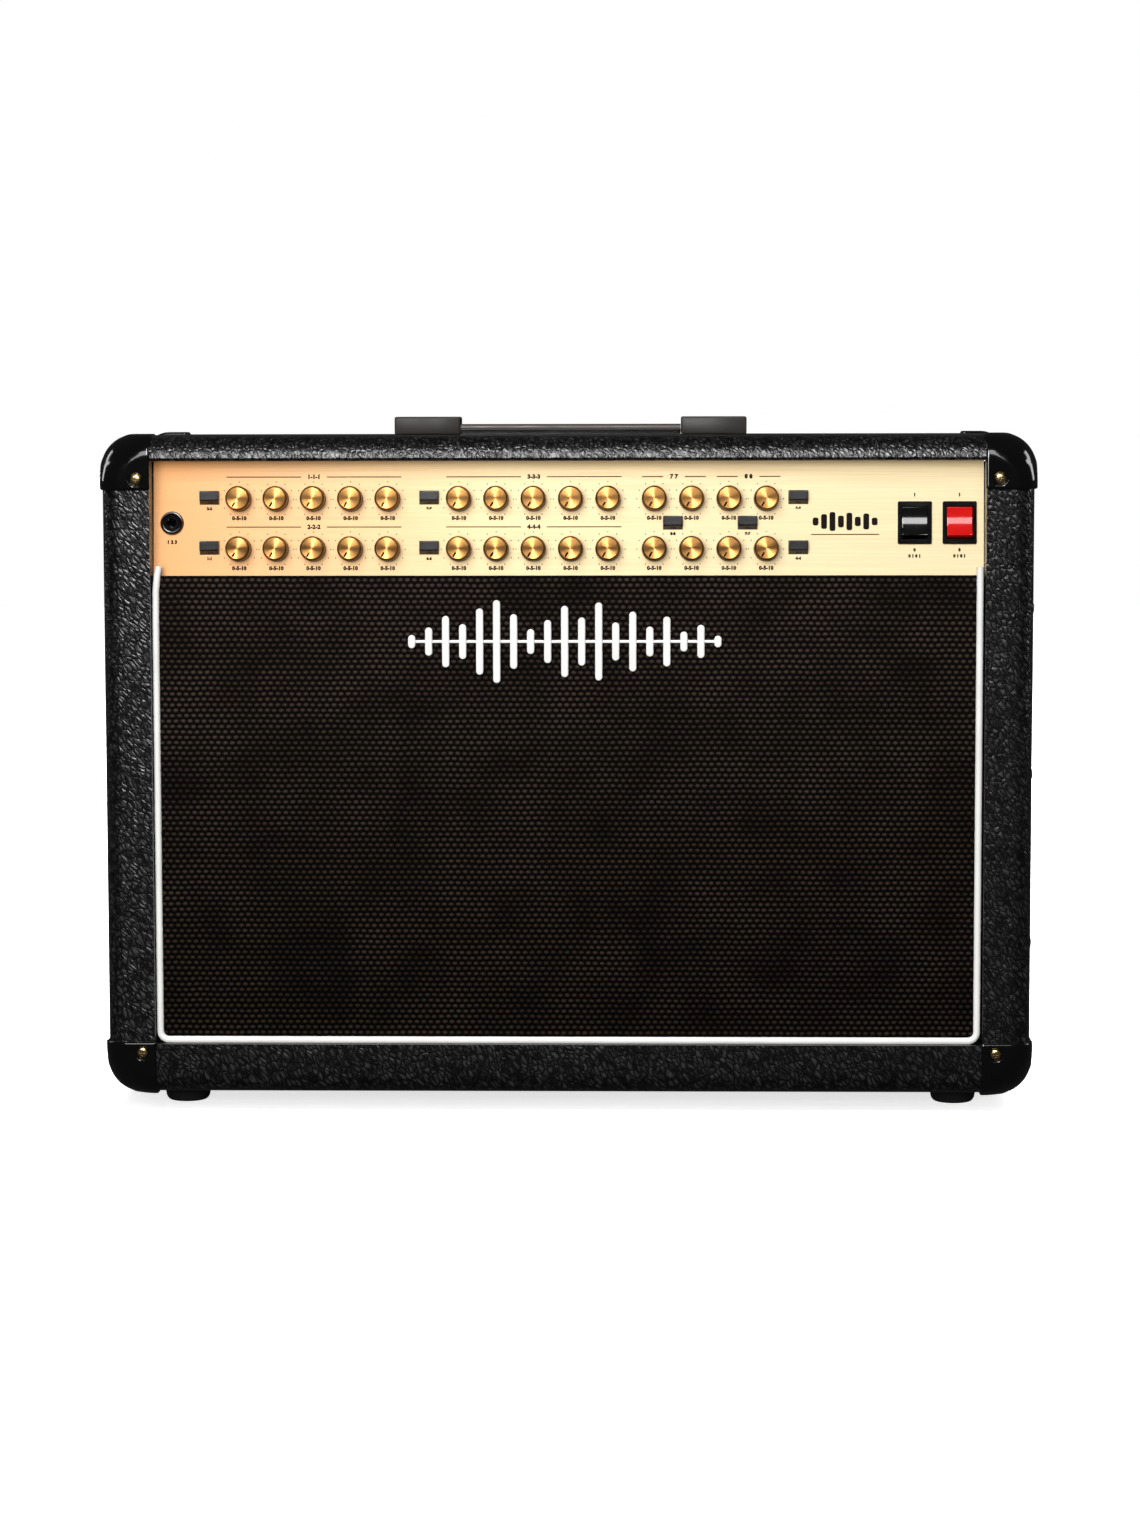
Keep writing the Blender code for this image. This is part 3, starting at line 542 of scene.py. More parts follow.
def cabinet():
    low, high = Vector((-SIDE, FRONT, BOTTOM)), Vector((SIDE, REAR, TOP))
    body = bmesh.new()
    bmesh.ops.create_cube(body, size=1)
    for vert in body.verts:
        vert.co = Vector(low[i] if vert.co[i] < 0 else high[i] for i in range(3))

    def run(edge):
        return abs(edge.verts[0].co.y - edge.verts[1].co.y)

    def rounding(edges, width, segments):
        shape = {"offset": width, "segments": segments, "profile": 0.5, "clamp_overlap": True}
        bmesh.ops.bevel(body, geom=edges, affect="EDGES", **shape)

    rounding([edge for edge in body.edges if run(edge) > 0.1], DEPTH_EDGE_RADIUS, 8)
    rounding([edge for edge in body.edges if run(edge) < 1e-6], EDGE_RADIUS, 6)
    outer = bpy.data.meshes.new("cabinet_outer")
    body.to_mesh(outer)
    body.free()

    # The top rail is rounder than the other edges, and its lower edge is rounded too
    spare = 0.01
    angles = [radians(90 + 7.5 * step) for step in range(13)]
    upper = [(FRONT + RAIL_RADIUS * (1 + cos(a)), TOP - RAIL_RADIUS * (1 - sin(a))) for a in angles]
    upper += [(FRONT - spare, TOP - RAIL_RADIUS), (FRONT - spare, TOP + spare)]
    upper += [(FRONT + RAIL_RADIUS, TOP + spare)]
    upper = Shape().prism(upper, -SIDE - spare, SIDE + spare, 0, ALONG)
    angles = [radians(15 * step) for step in range(7)]
    edge = RAIL_LOWER_RADIUS
    lower = [(FRONT + edge * (1 - cos(a)), OPENING_TOP + edge * (1 - sin(a))) for a in angles]
    lower += [(FRONT + edge, OPENING_TOP - spare), (FRONT - spare, OPENING_TOP - spare)]
    lower += [(FRONT - spare, OPENING_TOP + edge)]
    half = GRILLE_HIGH.x + FIT
    lower = Shape().prism(lower, -half + 0.0002, half - 0.0002, 0, ALONG)

    inside = SIDE - WALL
    frame_back = FRONT + FRONT_FRAME_DEPTH
    low, high = (-half, FRONT - 0.02, GRILLE_LOW.z - FIT), (half, frame_back + 0.02, OPENING_TOP)
    opening = Shape().box(low, high)
    low, high = (-inside, frame_back, BOTTOM + WALL), (inside, REAR + 0.02, TOP - WALL)
    room = Shape().box(low, high)
    rebates = Shape()
    reach, height = 0.0369, 0.039
    for x in (-1, 1):
        for y in (-1, 1):
            for z, face, inward in ((TOP, TOP + TOP_PROUD, -1), (BOTTOM, BOTTOM - PROUD, 1)):
                first = (x * (SIDE + spare), y * (REAR + spare), z - inward * spare)
                second = (x * (SIDE + PROUD - reach), y * (REAR + PROUD - reach), face + inward * height)
                rebates.box(tuple(map(min, first, second)), tuple(map(max, first, second)))
    shell = rounded(cut(outer, upper, opening, lower, room, rebates), 0.0016, 2, 60)
    for face in shell.polygons:
        middle = face.center
        face.material_index = int(
            abs(middle.x) < inside + 0.001
            and frame_back - 0.001 < middle.y < REAR - 0.004
            and BOTTOM + WALL - 0.001 < middle.z < TOP - WALL + 0.001
        )
    add("cabinet_covering", shell, [VINYL, PLY], replaces=["cabinet_shell"])


def screw_mesh(radius, height):
    """A domed screw head with a cross recess, its seat at height 0."""
    dome = [(0, height)]
    for step in range(1, 6):
        angle = radians(15 * step)
        dome.append((radius * sin(angle), height * cos(angle) ** 0.8))
    dome += [(radius, 0), (radius, -0.0006), (0, -0.0006)]
    arm, blade, low, high = radius * 0.52, radius * 0.11, height * 0.45, height * 2
    bars = [Shape().box((-x, -y, low), (x, y, high)) for x, y in ((arm, blade), (blade, arm))]
    made = cut(Shape().turned(dome, 24), *bars)
    made.set_sharp_from_angle(angle=radians(40))
    return made


def corner_protectors(brass_head):
    """A moulded cap over each corner, with a lip round its edge and a sunk screw in two of its faces, or
    in its side only at the back.
    """
    reach, height, steps = 0.0389, 0.041, 18
    sizes = (reach, reach, height)

    def outer_point(place):
        """Places are distances inward from the corner's side, front and top planes."""
        radius = 0.017 + 0.009 * (1 - smoothstep(0.016, 0.036, max(place[0], place[2])))
        centre = Vector(max(value, radius) for value in place)
        return centre + (Vector(place) - centre).normalized() * radius

    points, faces, index = [], [], {}
    for flat in range(3):
        first, second = [axis for axis in range(3) if axis != flat]
        for i in range(steps):
            for j in range(steps):
                ring = []
                for a, b in ((i, j), (i + 1, j), (i + 1, j + 1), (i, j + 1)):
                    place = [0.0, 0.0, 0.0]
                    place[first] = sizes[first] * a / steps
                    place[second] = sizes[second] * b / steps
                    key = tuple(round(value, 7) for value in place)
                    if key not in index:
                        index[key] = len(points)
                        points.append(outer_point(place))
                    ring.append(index[key])
                faces.append(ring)
    skin = Shape().draw(points, faces).mesh
    bmesh.ops.recalc_face_normals(skin, faces=skin.faces)
    sample = max(skin.faces, key=lambda face: face.calc_center_median().y)
    if sample.normal.dot(sample.calc_center_median() - Vector(sizes)) < 0:
        bmesh.ops.reverse_faces(skin, faces=skin.faces)
    skin.normal_update()
    mesh = bpy.data.meshes.new("corner_skin")
    skin.to_mesh(mesh)
    thick = made_with(mesh, ("SOLIDIFY", {"thickness": 0.0034, "offset": -1}))
    thick = rounded(thick, 0.0014, 3, 50)

    sunk = 0.002
    screw_places = (("face", (0.0284, 0, 0.033), (0, -1, 0)), ("side", (0, 0.0284, 0.033), (-1, 0, 0)))
    hollow = [(0, 0.004), (0.0056, 0.004), (0.0056, 0.0003), (0.0046, -sunk), (0, -sunk)]
    face_sink, side_sink = (
        solid(Shape().turned(hollow, 32, 0, facing(out, place))) for _, place, out in screw_places
    )
    # The rear protectors stop where the open back of the cabinet begins
    edge = PROUD + WALL
    back = Shape().box((edge, -0.01, edge), (0.1, 0.1, 0.1))
    templates = {"front": cut(thick, face_sink, side_sink), "rear": cut(thick, side_sink, back)}
    for x, side in ((-1, "left"), (1, "right")):
        for y, end, end_plane in ((-1, "front", FRONT - PROUD), (1, "rear", CAD_BOX[1][1])):
            for z, level, level_plane in ((1, "top", TOP + TOP_PROUD), (-1, "bottom", BOTTOM - PROUD)):
                mirror = Matrix.Diagonal((-x, -y, -z, 1))
                matrix = move(x * (SIDE + PROUD), end_plane, level_plane) @ mirror
                mesh = templates[end].copy()
                mesh.transform(matrix)
                if x * y * z > 0:
                    mesh.flip_normals()
                name = f"corner_{level}_{end}_{side}"
                add(name, mesh, CORNER, sharp=38)
                for face, place, out in screw_places:
                    if (end, face) == ("rear", "face"):
                        continue
                    away = Vector((out[0] * -x, out[1] * -y, 0))
                    seat = facing(away, matrix @ Vector(place) - away * sunk)
                    add(f"screw_{name}_{face}", brass_head, BRASS, matrix=seat)


def side_screws(brass_head):
    for x, side in ((-1, "left"), (1, "right")):
        for number, z in enumerate((0.3715, 0.2486, 0.1232)):
            matrix = facing((x, 0, 0), (x * (SIDE - 0.0002), FRONT + 0.027, z)) @ Matrix.Scale(1.15, 4)
            add(f"side_screw_{side}_{number + 1}", brass_head, BRASS, matrix=matrix)


def feet(steel_head):
    ring, well = 0.0125, 0.0055
    for node in [name for name in frame["nodes"] if name.startswith("foot_")]:
        low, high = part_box(node)
        top, wide = high.z, (high.x - low.x) / 2
        profile = [(0, well), (0.0058, well), (0.0062, 0.0), (ring, 0.0)]
        for step in range(1, 7):
            angle = radians(15 * step)
            profile.append((ring + (wide - 0.0145) * sin(angle), 0.006 * (1 - cos(angle))))
        profile += [(wide - 0.0006, 0.0095), (wide, 0.0105), (wide, top), (0, top)]
        foot = Shape().turned(list(reversed(profile)), 48)
        place = move((low.x + high.x) / 2, (low.y + high.y) / 2, 0)
        add(f"rubber_{node}", foot, RUBBER, sharp=50, matrix=place, replaces=[node])
        seat = place @ facing((0, 0, -1), (0, 0, well - 0.0001))
        add(f"screw_{node}", steel_head, STEEL, matrix=seat)


def handle():
    """Two hollow end caps, and a strap with a steel core whose ends reach into the caps."""
    end_wall, side_wall, lid = 0.004, 0.0022, 0.0018
    for side, x in (("left", -1), ("right", 1)):
        node = f"handle_cap_{side}"
        low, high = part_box(node)
        inner, outer = sorted((abs(low.x), abs(high.x)))
        ends = sorted((x * (inner - 0.01), x * (outer - end_wall)))
        mouth = Shape().box(
            (ends[0], low.y + side_wall, low.z - 0.01), (ends[1], high.y - side_wall, high.z - lid)
        )
        cap = cut(rounded(Shape().box(low, high), 0.0014, 3, 50), mouth)
        add(f"moulded_{node}", cap, CAP, sharp=35, replaces=[node])

    low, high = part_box("handle_strap")
    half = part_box("handle_cap_right")[0].x - FIT
    # Half an outline of the strap's upper band, which has a crowned top
    tall, foot, crown = high.z - low.z, 0.0024, 0.0022
    right = [(high.y - 0.0008, foot), (high.y - 0.0008, foot + 0.0006), (high.y, foot + 0.001)]
    for step in range(5):
        angle = radians(90) * step / 4
        right.append((high.y - crown * (1 - cos(angle)), tall - crown * (1 - sin(angle))))
    right.append((0, tall))
    outline = right + [(-u, v) for u, v in reversed(right[:-1])]
    band = Shape().prism(outline, -half, half, 0, move(0, 0, low.z) @ ALONG)
    # The dark lower band hangs just clear of the cabinet's top: a black band standing in for the shade
    # under the strap.
    band.box((-half, low.y, TOP + FIT), (half, high.y, low.z + foot), 2)
    core_half, core_low, core_high, overlap = 0.009, low.z + 0.0009, low.z + 0.0025, 0.003
    for x in (-1, 1):
        ends = sorted((x * (half - overlap), x * high.x))
        band.box((ends[0], -core_half, core_low), (ends[1], core_half, core_high), 1)
    finishes = [STRAP, STEEL, GLOSS]
    add("lifting_strap", band, finishes, "handle_strap", 40, replaces=["handle_strap"])


# Grille

def grille_cloth():
    """Cloth stretched over a frame of battens and folded round its edges."""
    low, high = GRILLE_LOW, GRILLE_HIGH
    thickness, radius, turn_in = 0.0005, 0.003, 0.018
    wide, tall, deep = high.x - low.x, high.z - low.z, high.y - low.y
    # One strip from the turned-in hem to the cloth's face, as (distance inward, depth)
    strip = [(turn_in, deep - thickness), (0.0, deep - thickness)]
    for step in range(5):
        angle = radians(22.5 * step)
        strip.append((radius * (1 - cos(angle)), radius * (1 - sin(angle))))
    points = [
        (high.x - inward if x else low.x + inward, low.y + depth, high.z - inward if z else low.z + inward)
        for inward, depth in strip
        for x, z in ((0, 0), (1, 0), (1, 1), (0, 1))
    ]
    last = 4 * (len(strip) - 1)
    faces = [
        (row + side, row + (side + 1) % 4, row + 4 + (side + 1) % 4, row + 4 + side)
        for row in range(0, last, 4)
        for side in range(4)
    ]
    faces.append(tuple(range(last, last + 4)))
    cloth = Shape().draw(points, faces)
    cloth = add("grille_cloth_sheet", cloth, WEAVE, sharp=60, replaces=["grille_panel"])

    batten = 0.02
    frame_low, frame_high = low + Vector((0.0006,) * 3), high - Vector((0.0006, 0.0012, 0.0006))
    holes = Shape()
    for x in (-1, 1):
        ends = sorted((x * batten / 2, x * (frame_high.x - batten)))
        holes.box(
            (ends[0], low.y - 0.01, frame_low.z + batten), (ends[1], high.y + 0.01, frame_high.z - batten)
        )
    battens = rounded(cut(Shape().box(frame_low, frame_high), holes), 0.0022, 2, 60)
    add("grille_frame", battens, PLY)


def piping():
    """White piping round three sides of the grille, bent inwards at its upper left end."""
    left, right, y, floor, corner, top = -0.3032, 0.3024, -0.1216, 0.0518, 0.0065, 0.4035
    path = [(left + 0.0028, y, top), (left + 0.0014, y, top - 0.007), (left + 0.0003, y, top - 0.018)]
    path += [(left, y, z) for z in (0.36, 0.3, 0.18, floor + corner + 0.01)]
    for middle, start in ((left + corner, 180), (right - corner, 270)):
        for step in range(7):
            angle = radians(start + 15 * step)
            path.append((middle + corner * cos(angle), y, floor + corner + corner * sin(angle)))
    path += [(right, y, z) for z in (floor + corner + 0.01, 0.18, 0.3, top - 0.001)]
    add("white_piping", Shape().tube(path, 0.0026, 14), WHITE, sharp=60)


def wave_badge():
    """A plain row of bars on a rail, in the place of the photo's badge."""
    levels = (
        0.16, 0.34, 0.62, 0.42, 0.8, 1.0, 0.66, 0.3, 0.52, 0.86,
        0.58, 0.94, 0.46, 0.72, 0.36, 0.6, 0.24, 0.4, 0.14,
    )
    pitch, bar, tallest, middle, across, rail = 0.0125, 0.0054, 0.061, 0.3481, -0.0019, 0.0011
    back, front = GRILLE_LOW.y + 0.0003, GRILLE_LOW.y - 0.0034
    reach = pitch * (len(levels) - 1) / 2
    badge = Shape()
    for number, level in enumerate(levels):
        centre = across + (number - (len(levels) - 1) / 2) * pitch
        outline = rounded_outline(bar, tallest * level, bar * 0.49, 6, (centre, middle))
        badge.prism(outline, -back, -front, 0, turn(90, "X"))
    badge.box((across - reach, front + 0.0012, middle - rail), (across + reach, back, middle + rail))
    add("wave_badge", rounded(badge, 0.0009, 2, 50), WHITE)


# Control panel

def on_panel(node):
    """A moving control's place along and up the panel."""
    low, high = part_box(node)
    place = PANEL.inverted() @ Vector(JOINTS[node].get("pos_m") or (low + high) / 2)
    return place.x, place.z


def names(prefix):
    return sorted(name for name in frame["bodies"] if name.startswith(prefix))


def knobs():
    """Spun brass caps in fluted collars, with a dark pointer notch at the lowest setting."""
    top, skirt, face = 0.0145, 0.0093, 0.0079
    profile = [(0, top - 0.0002), (0.001, top - 0.0002), (face - 0.0003, top), (face, top - 0.0002)]
    profile += [(face + 0.0007, top - 0.0012), (skirt - 0.0003, top - 0.002), (skirt - 0.0004, 0.01)]
    whole = Shape().turned([*profile, (0.0, 0.01)], 64)
    for polygon in whole.mesh.faces:
        polygon.material_index = 0 if polygon.calc_center_median().z > top - 0.0003 else 1
    flutes, depth = 36, 0.0007
    outline = []
    for index in range(flutes * 4):
        angle = tau * index / (flutes * 4)
        radius = skirt - depth * (0, 0.5, 1, 0.5)[index % 4]
        outline.append((radius * cos(angle), radius * sin(angle)))
    whole.prism(outline, 0.0016, 0.0118, 1)
    stem = [(0, 0.0017), (skirt, 0.0017), (skirt, 0.0008), (0.003, 0.0008), (0.003, -0.011), (0, -0.011)]
    whole.turned(stem, 48, 2)
    notch = rounded_outline(0.0013, 0.004, 0.00063, 4, (0, 0.0054))
    whole.prism(notch, top - 0.0006, top + 0.00012, 2, turn(150, "Z"))
    mesh = solid(whole)
    mesh.set_sharp_from_angle(angle=radians(35))
    finishes = [KNOB_FACE, KNOB_SIDE, GLOSS]
    for node in names("knob_"):
        matrix = FACE @ move(*on_panel(node), 0)
        name = node.replace("knob", "brass_knob")
        add(name, mesh, finishes, node, matrix=matrix, replaces=[node])


def buttons():
    low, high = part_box("button_reverb")
    half, tall, proud = (high.x - low.x) / 2, 0.0095 / 2, 0.005
    outline = [
        (-0.004, -tall), (0.0012, -tall), (proud - 0.0004, -0.0026), (proud, -0.002),
        (proud, tall - 0.0006), (proud - 0.0006, tall), (-0.004, tall),
    ]
    whole = Shape().take(rounded(Shape().prism(outline, -half, half, 0, OUTWARD), 0.00045, 2, 25))
    mesh = solid(whole.box((-0.0015, 0.0035, -0.0015), (0.0015, 0.0095, 0.0015)))
    mesh.set_sharp_from_angle(angle=radians(15))
    for node in names("button_"):
        x, z = on_panel(node)
        name = node.replace("button", "push_key")
        add(name, mesh, KEY, node, matrix=PANEL @ move(x, 0, z), replaces=[node])


ROCKERS = (("standby_rocker", BLACK, "rocker_black"), ("power_rocker", RED, "rocker_red"))


def rockers():
    """Keys with a hollow face, tilted to one side at rest."""
    out, rim, middle, root, end, tip, width = 0.0083, 0.0042, 0.0064, -0.003, 0.0102, 0.0112, 0.0187
    outline = [(root, -tip), (rim, -tip), (out - 0.0008, -0.0107)]
    for step in range(13):
        up = -end + 2 * end * step / 12
        outline.append((middle + (out - middle) * (up / end) ** 2, up))
    outline += [(out - 0.0008, 0.0107), (rim, tip), (root, tip)]
    key = rounded(Shape().prism(outline, -width / 2, width / 2, 0, OUTWARD), 0.0005, 2, 30)
    for node, finish, slot in ROCKERS:
        matrix = move(*JOINTS[node]["pos_m"]) @ turn(-PANEL_LEAN, "X") @ turn(-8, "X")
        add(f"moulded_{node}", key.copy(), finish, node, 15, matrix, [node])


def jack_across():
    """The input jack's place along the panel, from its opening in the record."""
    low, high = OPENINGS["input_jack_mouth"]
    return (low[0] + high[0]) / 2


def control_board():
    """The circuit board with what stands on it, and the housings and jack that show in the panel."""
    back, parts_back = turn(90, "X"), 0.0129
    jack = move(jack_across(), 0, MIDDLE_ROW) @ back
    board = Shape().box((-0.303, 0.013, -0.0335), (0.303, 0.0146, 0.031))
    board = cut(board, Shape().turned(rod(0.0062, -0.03, 0), 40, 0, jack))
    add("control_circuit_board", board, BOARD, ROOT, 30, PANEL, ["control_board"])
    pots = Shape()
    pot = [(0.0036, -0.005), (0.0078, -0.005), (0.0082, -0.0056)]
    pot += [(0.0082, -parts_back), (0.0036, -parts_back)]
    for node in names("knob_"):
        x, z = on_panel(node)
        pots.turned(pot, 24, 0, move(x, 0, z) @ back)
    add("rotary_pots", pots, STEEL, sharp=35, matrix=PANEL)
    switches = Shape()
    out, hole = 0.004, 0.0019
    walls = ((-out, -out, out, -hole), (-out, hole, out, out))
    walls += ((-out, -hole, -hole, hole), (hole, -hole, out, hole))
    for node in names("button_"):
        x, z = on_panel(node)
        # Four walls stand round the key's stem
        for x0, z0, x1, z1 in walls:
            switches.box((x + x0, 0.0072, z + z0), (x + x1, parts_back, z + z1))
    add("push_switch_bodies", switches, BLACK, sharp=30, matrix=PANEL)

    collar_wide, collar_tall, collar_corner, collar_top = 0.0251, 0.0316, 0.0012, 0.0018
    box_wide, box_tall, cavity_wide, cavity_tall, cavity_depth = 0.0112, 0.0142, 0.00975, 0.01215, 0.0105
    for node, _, _ in ROCKERS:
        x, z = on_panel(node)
        collar = rounded_outline(collar_wide, collar_tall, collar_corner, 4, (x, z))
        collar = rounded(Shape().prism(collar, FIT, collar_top), 0.0004, 2, 40)
        whole = Shape().take(collar, matrix=FACE)
        low, high = (x - box_wide, FIT, z - box_tall), (x + box_wide, parts_back, z + box_tall)
        whole.box(low, high, 0, PANEL)
        low = (x - cavity_wide, -0.01, z - cavity_tall)
        high = (x + cavity_wide, cavity_depth, z + cavity_tall)
        housing = cut(united(whole), Shape().box(low, high, 0, PANEL))
        add(f"housing_{node}", housing, GLOSS, sharp=15)

    profile = [
        (0, -0.0192), (0.0036, -0.0192), (0.0036, 0.0022), (0.0046, 0.0022), (0.005, 0.0017),
        (0.0058, 0.0017), (0.0062, 0.0028), (0.007, 0.003), (0.008, 0.0028), (0.0086, 0.0016),
        (0.0088, 0.0003), (0.0061, 0.0003), (0.0061, -0.0202), (0, -0.0202),
    ]
    add("input_jack", Shape().turned(profile, 64), GLOSS, sharp=35, matrix=PANEL @ jack)


def text_mesh(words, size):
    curve = bpy.data.curves.new("figures", "FONT")
    curve.body, curve.size = words, size
    curve.align_x = curve.align_y = "CENTER"
    curve.extrude, curve.offset = 0.00003, 0.00028
    curve.resolution_u = 2
    curve.space_character = 1.05
    holder = loose("figures", curve)
    bpy.context.view_layer.update()
    mesh = bpy.data.meshes.new_from_object(holder.evaluated_get(bpy.context.evaluated_depsgraph_get()))
    bpy.data.objects.remove(holder, do_unlink=True)
    return mesh


def panel_marks():
    """Printed lines, dots and figures. They are plain figures, with no words or names."""
    dark, fine = Shape(), Shape()
    low, high = -0.00002, 0.00006

    def bar(x0, x1, z):
        fine.box((x0, z - 0.00038, low), (x1, z + 0.00038, high))

    def figures(words, x, z, size):
        dark.take(text_mesh(words, size), 0, move(x, z, 0.00003))

    def titled_line(x0, x1, z, words, gap):
        """A line over a group of knobs, broken in its middle for a number."""
        middle = (x0 + x1) / 2
        bar(x0, middle - gap, z)
        bar(middle + gap, x1, z)
        figures(words, middle, z, 0.0042)

    dot_circle, dot = 0.0128, 0.0009
    for node in names("knob_"):
        x, z = on_panel(node)
        for tick in range(11):
            angle = radians(240 - 30 * tick)
            spot = (x + dot_circle * cos(angle), z + dot_circle * sin(angle))
            fine.prism(rounded_outline(dot, dot, dot * 0.49, 2, spot), low, high)
        figures("0-5-10", x, z - 0.0141, 0.0038)
    for number, node in enumerate(names("button_")):
        x, z = on_panel(node)
        figures(f"{number + 1}-{number + 1}", x, z - 0.0083, 0.0027)
    figures("1 2 3", jack_across(), MIDDLE_ROW - 0.014, 0.0034)
    upper_title, lower_title = 0.0302, -0.0067
    for upper, number in (("crunch", 1), ("lead1", 3)):
        x0 = on_panel(f"knob_{upper}_gain")[0] - 0.0094
        x1 = on_panel(f"knob_{upper}_volume")[0] + 0.0101
        titled_line(x0, x1, upper_title, "-".join(3 * [str(number)]), 0.0095)
        titled_line(x0, x1, lower_title, "-".join(3 * [str(number + 1)]), 0.0095)
    for first, last, words in (("reverb_1", "reverb_2", "7 7"), ("presence", "resonance", "8 8")):
        x0, x1 = on_panel(f"knob_{first}")[0] - 0.009, on_panel(f"knob_{last}")[0] + 0.0105
        titled_line(x0, x1, upper_title, words, 0.008)
    for node, _, _ in ROCKERS:
        x, z = on_panel(node)
        for words, up in (("1", 0.0205), ("0", -0.02), ("0 1 0 1", -0.0245)):
            figures(words, x, z + up, 0.003)

    levels = (0.42, 0.78, 1.0, 0.62, 0.92, 0.5, 0.84, 0.4)
    across, up, pitch = 0.2041, -0.003, 0.0062
    for number, level in enumerate(levels):
        centre = across + (number - (len(levels) - 1) / 2) * pitch
        dark.prism(rounded_outline(0.0043, 0.014 * level, 0.0014, 3, (centre, up)), low, high)
    bar(across - 0.025, across + 0.025, up - 0.0095)
    add("panel_print_dark", dark, INK, sharp=20, matrix=FACE)
    add("panel_print_light", fine, FAINT_INK, sharp=20, matrix=FACE)


def repaint(node, finish):
    dress(frame["nodes"][node].data, [finish])


# Speakers and the back

def speaker_basket():
    """A basket with six windows, its magnet and plates, its bolts and a strip with two terminals."""
    outline = [
        (0, -0.078), (0.0195, -0.078), (0.0195, -0.105), (0.0255, -0.105), (0.0255, -0.073),
        (0.078, -0.073), (0.133, -0.0125), (0.1385, -0.0008), (0.1395, 0), (0.1512, 0), (0.152, -0.0008),
        (0.152, -0.0026), (0.1512, -0.003), (0.1425, -0.003), (0.1408, -0.0038), (0.1362, -0.014),
        (0.082, -0.075), (0.078, -0.0772), (0.062, -0.0775), (0.062, -0.084), (0, -0.084),
    ]
    windows = [
        Shape().box((-0.17, -0.032, -0.06), (0.17, 0.032, -0.018), 0, turn(60 * number + 30, "Z"))
        for number in range(3)
    ]
    magnet = [(0, -0.0842), (0.0772, -0.0842), (0.078, -0.085), (0.078, -0.113), (0.0772, -0.1138)]
    plate = [(0, -0.1138), (0.064, -0.1138), (0.064, -0.118), (0.06, -0.12), (0.021, -0.1202)]
    plate += [(0.02, -0.122), (0.01, -0.122), (0.0095, -0.119), (0, -0.119)]
    bolt = [(0, -0.0052), (0.0026, -0.0048), (0.0034, -0.003), (0.0034, 0.0004), (0, 0.0004)]
    whole = Shape().take(rounded(cut(Shape().turned(outline, 72), *windows), 0.0007, 2, 45), 0)
    whole.turned([*magnet, (0, -0.1138)], 72, 1)
    whole.turned(plate, 72, 2)
    bolts, circle = 8, 0.1462
    for number in range(bolts):
        angle = tau * (number + 0.5) / bolts
        whole.turned(bolt, 12, 2, move(circle * cos(angle), circle * sin(angle), -0.003))
    whole.box((-0.019, -0.1075, -0.03), (0.019, -0.1025, -0.014), 3)
    for x in (-0.012, 0.012):
        whole.box((x - 0.0032, -0.118, -0.0245), (x + 0.0032, -0.107, -0.0235), 2)
    mesh = solid(whole)
    mesh.set_sharp_from_angle(angle=radians(35))
    return mesh


def speakers():
    """Two speakers: frame and magnet, and a paper cone with a ribbed surround and its voice coil."""
    basket = speaker_basket()
    cone = [(0, -0.036), (0.012, -0.0385), (0.023, -0.045), (0.06, -0.031), (0.118, -0.002)]
    cone.append((0.121, 0.0002))
    cone += [(0.121 + 0.0125 * rib / 8, 0.0006 + 0.0013 * (rib % 2)) for rib in range(1, 8)]
    cone += [
        (0.1345, 0.0005), (0.136, 0.0005), (0.136, -0.0012), (0.124, -0.0012), (0.06, -0.033),
        (0.0235, -0.0475), (0.0235, -0.09), (0.0215, -0.09), (0.0215, -0.0475), (0.0115, -0.04),
        (0, -0.0377),
    ]
    cone = solid(Shape().turned(cone, 72))
    cone.set_sharp_from_angle(angle=radians(50))
    for side in ("left", "right"):
        node = f"speaker_frame_{side}"
        low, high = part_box(node)
        place = move((low.x + high.x) / 2, low.y, (low.z + high.z) / 2) @ turn(90, "X")
        finishes = [BASKET, FERRITE, STEEL, BASE]
        add(f"basket_{side}", basket, finishes, matrix=place, replaces=[node])
        node = f"speaker_cone_{side}"
        add(f"paper_cone_{side}", cone, PAPER, node, None, place, [node])


